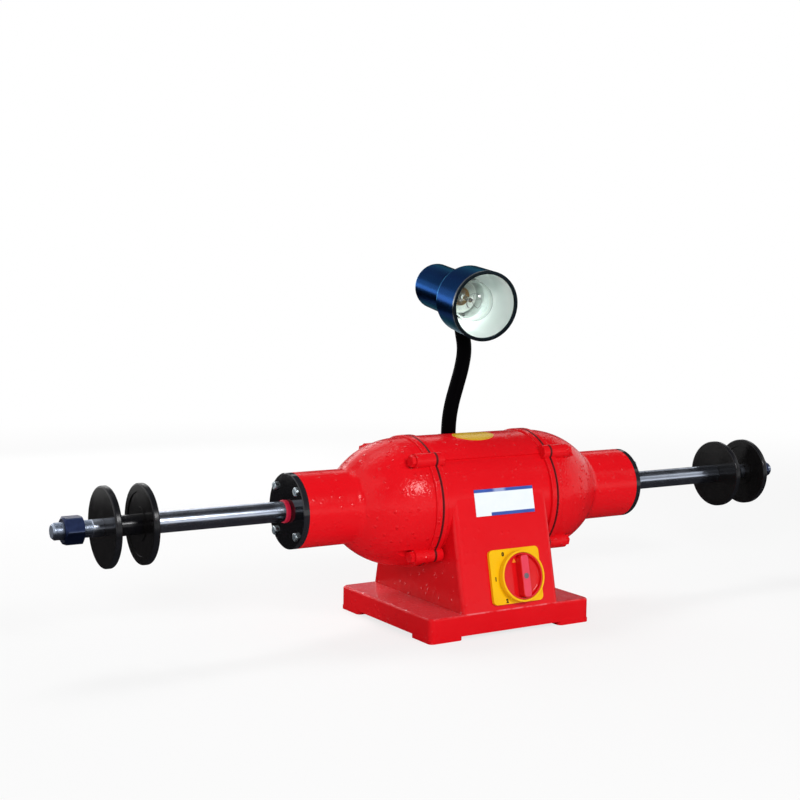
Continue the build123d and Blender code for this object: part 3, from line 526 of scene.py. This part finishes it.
# %% A turned piece
def deselect_all():
    """Operators act on all that is selected, so each new piece starts from nothing selected."""
    if bpy.context.object and bpy.context.object.mode == "EDIT":
        bpy.ops.object.mode_set(mode="OBJECT")
    bpy.ops.object.select_all(action="DESELECT")


def settle(piece, view_frame):
    """Set a piece modelled at the origin down in a frame, and put its place into its mesh."""
    deselect_all()
    piece.select_set(True)
    bpy.context.view_layer.objects.active = piece
    piece.matrix_world = view_frame
    bpy.ops.object.transform_apply(location=True, rotation=True, scale=True)


def scale_end(factor, height):
    if abs(factor - 1) > 1e-6:
        bpy.ops.transform.resize(value=(factor, factor, 1), center_override=(0, 0, height))


def turned_piece(name, stations, sides):
    """Turn a piece along Z through stations of height and radius."""
    (start, radius), (end, end_radius) = stations[:2]
    deselect_all()
    bpy.ops.mesh.primitive_cylinder_add(
        vertices=sides, radius=radius, depth=end - start, location=(0, 0, (start + end) / 2)
    )
    piece = bpy.context.object
    piece.name = name
    bpy.ops.object.transform_apply(location=True)
    bpy.ops.object.mode_set(mode="EDIT")
    bpy.ops.mesh.select_mode(type="FACE")
    bpy.ops.mesh.select_all(action="DESELECT")
    bpy.ops.object.mode_set(mode="OBJECT")
    for face in piece.data.polygons:
        face.select = face.normal.z > 0.9
    bpy.ops.object.mode_set(mode="EDIT")
    scale_end(end_radius / radius, end)
    for (height, before), (next_height, after) in zip(stations[1:], stations[2:]):
        bpy.ops.mesh.extrude_region_move(TRANSFORM_OT_translate={"value": (0, 0, next_height - height)})
        scale_end(after / before, next_height)
    bpy.ops.object.mode_set(mode="OBJECT")
    bpy.ops.object.shade_smooth_by_angle(angle=math.radians(35))
    return piece


# %% [markdown]
# A thread is one triangle carried round the axis while it moves along it. The Screw modifier does just
# that. The triangle's foot is sunk a little into the bar, so the ridge closes on it. The left end
# carries the mirror image, a left-hand thread, so that neither nut works loose as the machine turns.

# %% Thread for the arbor ends
THREAD_PITCH = 0.0015
THREAD_TURNS = 28
THREAD_START = 0.5063
THREAD_CREST = 0.00998
THREAD_ROOT = 0.00915
THREAD_HALF_WIDTH = THREAD_PITCH * 0.47
THREAD_SINK = 0.0002


def thread_ridge(name):
    """A right-hand thread on the Z axis."""
    deselect_all()
    bpy.ops.mesh.primitive_circle_add(vertices=3, radius=1, fill_type="NOTHING")
    ridge = bpy.context.object
    ridge.name = name
    foot = THREAD_ROOT - THREAD_SINK
    low = THREAD_START - THREAD_HALF_WIDTH
    high = THREAD_START + THREAD_HALF_WIDTH
    corners = ((foot, low), (THREAD_CREST, THREAD_START), (foot, high))
    for corner_point, (radius, height) in zip(ridge.data.vertices, corners):
        corner_point.co = (radius, 0, height)
    screw = ridge.modifiers.new("turns", "SCREW")
    screw.axis = "Z"
    screw.angle = math.tau
    screw.screw_offset = THREAD_PITCH
    screw.iterations = THREAD_TURNS
    screw.steps = 32
    screw.render_steps = 32
    bpy.ops.object.modifier_apply(modifier="turns")
    bpy.ops.object.mode_set(mode="EDIT")
    bpy.ops.mesh.select_all(action="SELECT")
    bpy.ops.mesh.remove_doubles(threshold=1e-6)
    bpy.ops.mesh.fill_holes(sides=3)
    bpy.ops.mesh.select_all(action="SELECT")
    bpy.ops.mesh.normals_make_consistent(inside=False)
    bpy.ops.object.mode_set(mode="OBJECT")
    return ridge


# %% Turn the shaft
CORE_SEAT_END = 0.060
CORE_SEAT_RADIUS = 0.0175
JOURNAL_END = 0.233
JOURNAL_RADIUS = 0.015
WHEEL_SHOULDER = 0.4410
SHAFT_RADIUS = 0.0125
SEAT_END = 0.4850
SEAT_RADIUS = 0.012
ARBOR_RADIUS = 0.010
SHAFT_TIP = 0.5510
TIP_RADIUS = 0.0075
TIP_BEVEL = 0.0020
EDGE_BEVEL = 0.0006
THREAD_RUN_IN = 0.0012

half_stations = [
    (CORE_SEAT_END, CORE_SEAT_RADIUS),
    (CORE_SEAT_END, JOURNAL_RADIUS),
    (JOURNAL_END, JOURNAL_RADIUS),
    (JOURNAL_END, SHAFT_RADIUS),
    (WHEEL_SHOULDER - EDGE_BEVEL, SHAFT_RADIUS),
    (WHEEL_SHOULDER, SHAFT_RADIUS - EDGE_BEVEL),
    (WHEEL_SHOULDER, SEAT_RADIUS),
    (SEAT_END - EDGE_BEVEL, SEAT_RADIUS),
    (SEAT_END, SEAT_RADIUS - EDGE_BEVEL),
    (SEAT_END, ARBOR_RADIUS),
    (THREAD_START - THREAD_RUN_IN, ARBOR_RADIUS),
    (THREAD_START, THREAD_ROOT),
    (SHAFT_TIP - TIP_BEVEL, THREAD_ROOT),
    (SHAFT_TIP, TIP_RADIUS),
]
stations = [(-height, radius) for height, radius in reversed(half_stations)] + half_stations
shaft_bar = turned_piece("shaft_bar", stations, sides=96)
right_ridge = thread_ridge("right_thread")
left_ridge = thread_ridge("left_thread")
bpy.ops.object.mode_set(mode="EDIT")
bpy.ops.mesh.select_all(action="SELECT")
bpy.ops.transform.resize(value=(1, 1, -1), center_override=(0, 0, 0))
bpy.ops.mesh.normals_make_consistent(inside=False)
deselect_all()
for piece in (shaft_bar, right_ridge, left_ridge):
    piece.select_set(True)
bpy.context.view_layer.objects.active = shaft_bar
bpy.ops.object.join()
settle(shaft_bar, SPINDLE_FRAME)
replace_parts(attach(shaft_bar, "spindle"), "shaft")
print("shaft faces:", len(shaft_bar.data.polygons))

# %% Ground steel
ground_steel, place = new_finish("ground_steel")
x, _, _ = axes_of(place)
along = abs(x)
rings = noise(stretched(place, (1, 0.012, 0.012)), 0.00035, 3.0)
haze = noise(stretched(place, (1, 0.3, 0.3)), 0.03, 3.0)
past_seat = rise(along, SEAT_END - EDGE_BEVEL, SEAT_END)
# The wheel seats are painted near black: a painted reflection of the black flanges beside them.
painted_dark_seat = rise(along, WHEEL_SHOULDER - 0.0008, WHEEL_SHOULDER) * (1 - past_seat)
arbor = rise(along, SEAT_END - 0.0004, SEAT_END + 0.0006)
threaded = rise(along, THREAD_START - 0.001, THREAD_START)
tone = mixed(haze, (0.50, 0.57, 0.70), (0.66, 0.72, 0.84))
tone = mixed(arbor * 0.35, tone, (0.42, 0.45, 0.52))
tone = mixed(threaded * 0.6, tone, (0.26, 0.32, 0.42))
polish = 0.19 + haze * 0.08 + arbor * 0.06 + threaded * 0.08
tone = mixed(painted_dark_seat, tone, (0.006, 0.006, 0.008))
surface(place, Base_Color=tone, Metallic=1 - painted_dark_seat * 0.8, Roughness=polish, Normal=raised(rings, 0.000012))
shaft_bar.data.materials.append(ground_steel)

# %% [markdown]
# ## Zinc, rubber and the other small metals
#
# The cover screws are bright zinc with a blue tint, blotchy as plating is. The ring on the shaft is red
# rubber. The pieces inside the motor and the bearings aren't seen, but they are in the model, so each
# gets the finish that it has on the bench: bearing steel, laminations, copper, cast aluminium and
# brass.


# %% Plain metals
def metal(name, dark, light, roughness, grain, relief_depth=0.00003):
    """A bare metal with a blotchy tone, its blotches about one grain apart."""
    finish, place = new_finish(name)
    patch = noise(place, grain, 4.0)
    fine = noise(place, grain * 0.12, 2.0)
    tone = mixed(patch, dark, light)
    gloss = roughness + patch * 0.14
    surface(place, Base_Color=tone, Metallic=1.0, Roughness=gloss, Normal=raised(fine, relief_depth))
    return finish


zinc = metal("bright_zinc", (0.50, 0.60, 0.66), (0.74, 0.80, 0.83), 0.24, 0.004)
bearing_steel = metal("bearing_steel", (0.58, 0.58, 0.60), (0.72, 0.72, 0.73), 0.10, 0.008)
cast_aluminium = metal("cast_aluminium", (0.52, 0.52, 0.54), (0.70, 0.70, 0.72), 0.42, 0.006, 0.0002)
pressed_brass = metal("pressed_brass", (0.58, 0.38, 0.14), (0.80, 0.60, 0.28), 0.22, 0.005)
dull_zinc = metal("dull_zinc", (0.16, 0.15, 0.17), (0.34, 0.32, 0.35), 0.36, 0.002)
dress(dull_zinc, "knob_screw")
dress(zinc, *both("cover_screws"), "bottom_plate", "bottom_plate_screws", "switch_spindle")
dress(bearing_steel, *both("bearing_outer_race", "bearing_inner_race", "bearing_balls", "bearing_washer"))
dress(cast_aluminium, "rotor_end_rings")
dress(pressed_brass, *both("bearing_cage"), "bulb_cap")

# %% Laminations and windings
SHEET_THICKNESS = 0.0005
WIRE_THICKNESS = 0.001

laminations, place = new_finish("laminations")
x, _, _ = axes_of(place)
sheet_edges = place.math("SINE", x * (math.tau / SHEET_THICKNESS))
oil = noise(place, 0.015, 3.0)
tone = mixed(oil, (0.10, 0.10, 0.11), (0.24, 0.24, 0.25))
gloss = 0.45 + oil * 0.1
surface(place, Base_Color=tone, Metallic=0.8, Roughness=gloss, Normal=raised(sheet_edges, 0.00005))
dress(laminations, "rotor_core", "stator_core")

copper_wire, place = new_finish("copper_wire")
x, y, z = axes_of(place)
off_axis = distance_from_axis(y, z - AXIS_HEIGHT)
turns = place.math("SINE", (x + off_axis) * (math.tau / WIRE_THICKNESS))
varnish = noise(place, 0.01, 3.0)
tone = mixed(varnish, (0.42, 0.16, 0.06), (0.74, 0.36, 0.17))
gloss = 0.3 + varnish * 0.15
surface(place, Base_Color=tone, Metallic=0.7, Roughness=gloss, Normal=raised(turns, 0.0002))
dress(copper_wire, "stator_windings")

# %% [markdown]
# ## Plastics of the switch
#
# The switch is moulded plastic: a yellow plate with a collar, a red dished knob and an orange pointer.
# Moulded plastic is even in colour with a soft gloss and the faintest ripple. Painted shade darkens the
# yellow in the corner between plate and collar and turns the collar a deeper orange, and the top of the
# knob's fin is painted paler as a painted highlight.


# %% Moulded plastics
def moulded(name, dark, light, roughness, ripple=0.00005, shine=0.5):
    """An even plastic: shine sets how strongly its surface reflects."""
    finish, place = new_finish(name)
    flow = noise(place, 0.018, 2.0)
    grain = noise(place, 0.0012, 2.0)
    surface(
        place,
        Base_Color=mixed(flow, dark, light),
        Roughness=roughness + grain * 0.06,
        Specular_IOR_Level=shine,
        Normal=raised(grain, ripple),
    )
    return finish


PLATE_FACE = 0.0040
COLLAR_FOOT = 0.0046
COLLAR_TOP = 0.0085
COLLAR_RADIUS = 0.0322
CORNER_SHADE_RADIUS = 0.0350
CORNER_SHADE_HEIGHT = 0.0075
FIN_HIGHLIGHT_START = 0.0125
FIN_TOP = 0.0138

switch_yellow, place = new_finish("switch_yellow")
u, v, w = axes_of(seen_from(place, SWITCH_FRAME))
from_middle = distance_from_axis(u, v)
grain = noise(place, 0.0012, 2.0)
flow = noise(place, 0.02, 2.0)
# Painted shade: the corner between plate and collar is darkened, and the collar is turned a deeper
# orange.
by_collar = 1 - rise(from_middle, COLLAR_RADIUS, CORNER_SHADE_RADIUS)
painted_corner_shade = by_collar * (1 - rise(w, PLATE_FACE, CORNER_SHADE_HEIGHT))
collar = rise(w, COLLAR_FOOT, COLLAR_TOP)
tone = mixed(flow, (0.88, 0.47, 0.003), (0.94, 0.56, 0.005))
tone = mixed(collar * 0.3, tone, (0.95, 0.50, 0.014))
tone = mixed(painted_corner_shade * 0.2, tone, (0.60, 0.26, 0.008))
surface(
    place,
    Base_Color=tone,
    Roughness=0.24 + grain * 0.06,
    Specular_IOR_Level=0.2,
    Normal=raised(grain, 0.00004),
)
dress(switch_yellow, "switch_plate")

knob_red, place = new_finish("knob_red")
_, _, w = axes_of(seen_from(place, SWITCH_FRAME))
_, _, normal_w = axes_of(seen_from(place.output("Normal"), SWITCH_TURN))
grain = noise(place, 0.0012, 2.0)
flow = noise(place, 0.018, 2.0)
# The outward-facing top of the fin is painted pale pink as a painted highlight.
painted_fin_highlight = rise(w, FIN_HIGHLIGHT_START, FIN_TOP) * rise(normal_w, 0.80, 0.94) * (0.75 + flow * 0.5)
tone = mixed(flow, (0.68, 0.004, 0.006), (0.76, 0.007, 0.010))
tone = mixed(painted_fin_highlight * 0.6, tone, (0.84, 0.075, 0.145))
surface(
    place,
    Base_Color=tone,
    Roughness=0.10 + grain * 0.05 + painted_fin_highlight * 0.06,
    Specular_IOR_Level=0.45,
    Normal=raised(grain, 0.00003),
)
dress(knob_red, "switch_knob")
pointer_orange = moulded("pointer_orange", (0.90, 0.26, 0.02), (0.95, 0.36, 0.03), 0.22)
gland_black = moulded("gland_black", (0.012, 0.012, 0.013), (0.024, 0.024, 0.026), 0.38, 0.00012)
block_black = moulded("block_black", (0.014, 0.014, 0.015), (0.03, 0.03, 0.03), 0.4)
seal_red = moulded("seal_red", (0.56, 0.008, 0.036), (0.68, 0.014, 0.056), 0.34, 0.0001, 0.35)
holder_white = moulded("holder_white", (0.76, 0.79, 0.75), (0.84, 0.86, 0.82), 0.14, 0.00008)
dress(pointer_orange, "switch_pointer")
dress(gland_black, "cable_gland")
dress(block_black, "switch_body", "terminal_block")
dress(seal_red, *both("dust_seal"))
dress(holder_white, "lamp_holder")
print("materials in use so far:", len([m for m in bpy.data.materials if m.users]))

# %% [markdown]
# ## Marks on the switch
#
# Three small dark marks beside the knob name its positions. We use plain figures, typed as text, made a
# mesh and set down on the plate like a print.

# %% Figures beside the knob
PRINT_LIFT = 0.00402
PRINT_THICKNESS = 0.00006
FIGURE_SIZE = 0.0064
FIGURE_STROKE = 0.00050
FIGURE_CIRCLE = 0.0370
DIAL_FIGURES = (("0", 128), ("1", 181), ("2", 231))

dial_print = moulded("dial_print", (0.022, 0.009, 0.003), (0.050, 0.020, 0.006), 0.5, 0.00002, 0.1)
for figure, angle in DIAL_FIGURES:
    deselect_all()
    bpy.ops.object.text_add()
    mark = bpy.context.object
    mark.name = f"dial_figure_{figure}"
    mark.data.body = figure
    mark.data.size = FIGURE_SIZE
    mark.data.align_x = "CENTER"
    mark.data.align_y = "CENTER"
    mark.data.extrude = PRINT_THICKNESS
    mark.data.offset = FIGURE_STROKE
    bpy.ops.object.convert(target="MESH")
    out = Vector((math.cos(math.radians(angle)), math.sin(math.radians(angle)), 0)) * FIGURE_CIRCLE
    settle(mark, SWITCH_FRAME @ Matrix.Translation(out + Vector((0, 0, PRINT_LIFT))))
    mark.data.materials.append(dial_print)
    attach(mark, "machine_body")
print("figures on the plate:", len(DIAL_FIGURES))

# %% [markdown]
# ## Nameplate and label
#
# The nameplate is a white printed plate with a blue band along its top and another along most of its
# bottom. Its field stays bare. The bands fade a little, as a cheap print does, and a pale patch in the
# top band is a painted highlight. The oval on the top is a plain golden film.

# %% Printed plate
BAND_EDGE = 0.0124
BAND_FULL = 0.0130
LOW_BAND_START = -0.0230
PALE_MIDDLE = -0.0068
PALE_CORE = 0.005
PALE_REACH = 0.012

plate_print, place = new_finish("plate_print")
u, v, _ = axes_of(seen_from(place, NAMEPLATE_FRAME))
fade = noise(stretched(place, (1, 0.2, 0.2)), 0.03, 1.0)
top_band = rise(v, BAND_EDGE, BAND_FULL)
low_band = rise(0 - v, BAND_EDGE, BAND_FULL) * rise(u, LOW_BAND_START, LOW_BAND_START + 0.0015)
# A pale patch in the top band is a painted highlight.
painted_highlight_patch = (1 - rise(abs(u - PALE_MIDDLE), PALE_CORE, PALE_REACH)) * top_band
blue = mixed(fade, (0.018, 0.045, 0.30), (0.05, 0.14, 0.52))
blue = mixed(painted_highlight_patch * 0.6, blue, (0.50, 0.58, 0.84))
white = mixed(noise(place, 0.012), (0.82, 0.90, 0.94), (0.90, 0.95, 0.97))
tone = mixed(top_band | low_band, white, blue)
ripple = raised(noise(place, 0.006), 0.00003)
surface(place, Base_Color=tone, Roughness=0.26 + fade * 0.08, Normal=ripple)
dress(plate_print, "nameplate")

# %% Golden film
LABEL_MIDDLE = (0.0015, -0.014)
LABEL_HALF_LENGTH = 0.0305
LABEL_HALF_DEPTH = 0.017

film, place = new_finish("golden_film")
x, y, _ = axes_of(place)
creases = noise(stretched(place, (0.6, 1, 1)), 0.010, 3.0)
across = (x - LABEL_MIDDLE[0]) * (1 / LABEL_HALF_LENGTH)
back = (y - LABEL_MIDDLE[1]) * (1 / LABEL_HALF_DEPTH)
oval = across**2 + back**2
border = rise(oval, 0.80, 0.84) * (1 - rise(oval, 0.92, 0.96))
tone = mixed(creases, (0.66, 0.38, 0.008), (0.80, 0.52, 0.018))
tone = mixed(border * 0.5, tone, (0.55, 0.26, 0.008))
surface(place, Base_Color=tone, Roughness=0.22 + creases * 0.10, Normal=raised(creases, 0.00008))
dress(film, "top_label")

# %% [markdown]
# ## Lamp
#
# The lamp's shade and housing are spun metal in a deep navy gloss that throws blue light back. The
# inside of the shade is stoved white with a touch of green. One node carries both, so the finish asks
# which way a point faces: away from the lamp's axis is outside, towards it or towards the mouth is
# inside.

# %% Navy gloss with a white inside
RIM_BEAD = 0.0031
RADIAL_WEIGHT = 25
LAMP_TURN = LAMP_FRAME.to_3x3().to_4x4()


def lamp_gloss(name, bead_depth):
    """Navy outside, stoved white inside, and black on a bead of the given depth at the rim."""
    finish, place = new_finish(name)
    u, v, w = axes_of(seen_from(place, LAMP_FRAME))
    normal_u, normal_v, normal_w = axes_of(seen_from(place.output("Normal"), LAMP_TURN))
    orange_peel = noise(place, 0.0030, 1.5)
    sheen = noise(place, 0.05, 2.0)
    on_bead = 1 - rise(w, bead_depth, bead_depth + 0.0004)
    outward = (normal_u * u + normal_v * v) * RADIAL_WEIGHT + normal_w
    inside = (1 - rise(outward, -0.05, 0.05)) * (1 - on_bead)
    navy = mixed(sheen, (0.0060, 0.0235, 0.060), (0.0080, 0.0330, 0.082))
    white = mixed(noise(place, 0.02), (0.86, 0.955, 0.915), (0.92, 0.985, 0.950))
    tone = mixed(on_bead, navy, (0.003, 0.003, 0.005))
    tone = mixed(inside, tone, white)
    surface(
        place,
        Base_Color=tone,
        Metallic=(1 - inside) * (0.95 - on_bead * 0.9),
        Roughness=0.20 + sheen * 0.06 + inside * 0.12,
        Specular_Tint=(0.20, 0.42, 0.52, 1),
        Normal=raised(orange_peel, 0.00003),
    )
    return finish


dress(lamp_gloss("shade_navy", RIM_BEAD), "lamp_shade")
dress(lamp_gloss("housing_navy", 0), "lamp_housing")
neck_black = moulded(
    "neck_black", (0.0008, 0.0007, 0.0010), (0.002, 0.0018, 0.0023), 0.34, 0.00005, 0.01
)
dress(neck_black, "lamp_ferrule", "lamp_lock_nut")

# %% Clear glass
clear_glass, place = new_finish("clear_glass")
surface(
    place,
    Base_Color=(0.97, 1.0, 0.985, 1),
    Roughness=0.01 + noise(place, 0.02) * 0.02,
    Transmission_Weight=1.0,
    IOR=1.45,
)
dress(clear_glass, "bulb_glass")
nodes["bulb_glass"].visible_shadow = False

# %% [markdown]
# ## Sleeve of the neck
#
# The neck bends at six places and a smooth black sleeve hides them. We lay one short tube over each
# bend, from the middle of one link to the middle of the next. Its line is a NURBS curve with the bend
# as its middle point, so it leaves both links straight, and the tubes meet on the stiff stretches.

# %% Sleeve pieces
SLEEVE_RADIUS = 0.0101
FOOT_LENGTH = 0.0159
FERRULE_COVER = 0.0125
NECK_FOOT = NECK_BENDS[0] - Vector((0, 0, FOOT_LENGTH))
NECK_TOP = NECK_BENDS[-1] + FERRULE_LINE * FERRULE_COVER

middles = [(below + above) / 2 for below, above in zip(NECK_BENDS, NECK_BENDS[1:])]
ends = [NECK_FOOT, *middles, NECK_TOP]
for number, bend in enumerate(NECK_BENDS):
    below, above = ends[number], ends[number + 1]
    deselect_all()
    bpy.ops.curve.primitive_nurbs_path_add()
    sleeve = bpy.context.object
    sleeve.name = f"neck_sleeve_{number + 1}"
    line = sleeve.data
    line.splines.clear()
    spline = line.splines.new("NURBS")
    spline.points.add(2)
    for point, where in zip(spline.points, (below, bend, above)):
        point.co = (*where, 1)
    spline.order_u = 3
    spline.use_endpoint_u = True
    spline.resolution_u = 16
    line.dimensions = "3D"
    line.bevel_depth = SLEEVE_RADIUS
    line.bevel_resolution = 6
    line.use_fill_caps = True
    bpy.ops.object.convert(target="MESH")
    bpy.ops.object.transform_apply(location=True, rotation=True, scale=True)
    bpy.ops.object.mode_set(mode="EDIT")
    bpy.ops.mesh.select_all(action="SELECT")
    bpy.ops.mesh.remove_doubles(threshold=1e-6)
    bpy.ops.mesh.normals_make_consistent(inside=False)
    bpy.ops.object.mode_set(mode="OBJECT")
    bpy.ops.object.shade_smooth_by_angle(angle=math.radians(50))
    sleeve.data.materials.clear()
    sleeve.data.materials.append(neck_black)
    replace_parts(sleeve, "neck_segment_" + str(number) if number else "lamp_neck_base")
    NECK_BODIES[number + 1]
    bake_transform(sleeve)
    print(sleeve.name, "is", round(1000 * (above - below).length, 1), "mm long")

# %% [markdown]
# ## Inside the bulb
#
# A clear bulb shows its works: a glass stem, two lead wires and a coiled filament hung in a ring. The
# stem is turned like the shaft. The wires are thin curves, and the filament is one long coil wound
# around a ring.

# %% Glass stem
stem_stations = [
    (-0.0746, 0.0100),
    (-0.0725, 0.0080),
    (-0.0670, 0.0046),
    (-0.0580, 0.0032),
    (-0.0460, 0.0026),
    (-0.0445, 0.0032),
    (-0.0430, 0.0022),
]
stem = turned_piece("bulb_stem", stem_stations, sides=32)
settle(stem, LAMP_FRAME @ Matrix.Rotation(math.pi, 4, "X"))
stem.data.materials.append(clear_glass)
stem.visible_shadow = False
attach(stem, "lamp_head")


# %% Wires and filament
def wire(name, points, radius):
    """A thin wire through points of the lamp's frame."""
    deselect_all()
    bpy.ops.curve.primitive_nurbs_path_add()
    piece = bpy.context.object
    piece.name = name
    line = piece.data
    line.splines.clear()
    spline = line.splines.new("NURBS")
    spline.points.add(len(points) - 1)
    for point, where in zip(spline.points, points):
        point.co = (*where, 1)
    spline.order_u = 3
    spline.use_endpoint_u = True
    spline.resolution_u = 3
    line.dimensions = "3D"
    line.bevel_depth = radius
    line.bevel_resolution = 1
    line.use_fill_caps = True
    bpy.ops.object.convert(target="MESH")
    settle(piece, LAMP_FRAME)
    bpy.ops.object.shade_smooth()
    piece.data.materials.clear()
    return piece


RING_RADIUS = 0.0105
RING_DEPTH = 0.034
RING_SPAN = math.radians(290)
COIL_TURNS = 64
COIL_RADIUS = 0.0005
COIL_STEPS = 6
FILAMENT_RADIUS = 0.00014
LEAD_RADIUS = 0.00035
SUPPORT_RADIUS = 0.0002
LEAD_ROOT = 0.062
LEAD_GAP = 0.002
LEAD_BEND = 0.049
LEAD_SPREAD = 0.003
LEAD_DROP = 0.009
STEM_TIP = 0.0445
ELBOW_SHARE = 0.55
ELBOW_RISE = 0.004


def on_ring(angle, radius=RING_RADIUS, depth=RING_DEPTH):
    return Vector((radius * math.sin(angle), radius * math.cos(angle), depth))


coil = []
for step in range(COIL_TURNS * COIL_STEPS + 1):
    share = step / (COIL_TURNS * COIL_STEPS)
    around = RING_SPAN * (share - 0.5)
    twist = math.tau * COIL_TURNS * share
    out = RING_RADIUS + COIL_RADIUS * math.cos(twist)
    deep = RING_DEPTH + COIL_RADIUS * math.sin(twist)
    coil.append(on_ring(around, out, deep))
tungsten = metal("tungsten", (0.16, 0.16, 0.17), (0.30, 0.30, 0.31), 0.35, 0.002)
filament = wire("filament", coil, FILAMENT_RADIUS)
works = [filament]
for side, letter in ((-1, "a"), (1, "b")):
    tip = on_ring(side * RING_SPAN / 2)
    lead = [
        Vector((side * LEAD_GAP, 0, LEAD_ROOT)),
        Vector((side * LEAD_SPREAD, 0, LEAD_BEND)),
        tip + Vector((0, 0, LEAD_DROP)),
        tip,
    ]
    works.append(wire(f"lead_wire_{letter}", lead, LEAD_RADIUS))
for number, angle in enumerate((-75, 0, 75)):
    hook = on_ring(math.radians(angle))
    elbow = Vector((hook.x * ELBOW_SHARE, hook.y * ELBOW_SHARE, RING_DEPTH + ELBOW_RISE))
    line = [Vector((0, 0, STEM_TIP)), elbow, hook]
    works.append(wire(f"support_wire_{number + 1}", line, SUPPORT_RADIUS))
for piece in works:
    piece.data.materials.append(tungsten)
    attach(piece, "lamp_head")
print("pieces inside the bulb:", 1 + len(works))
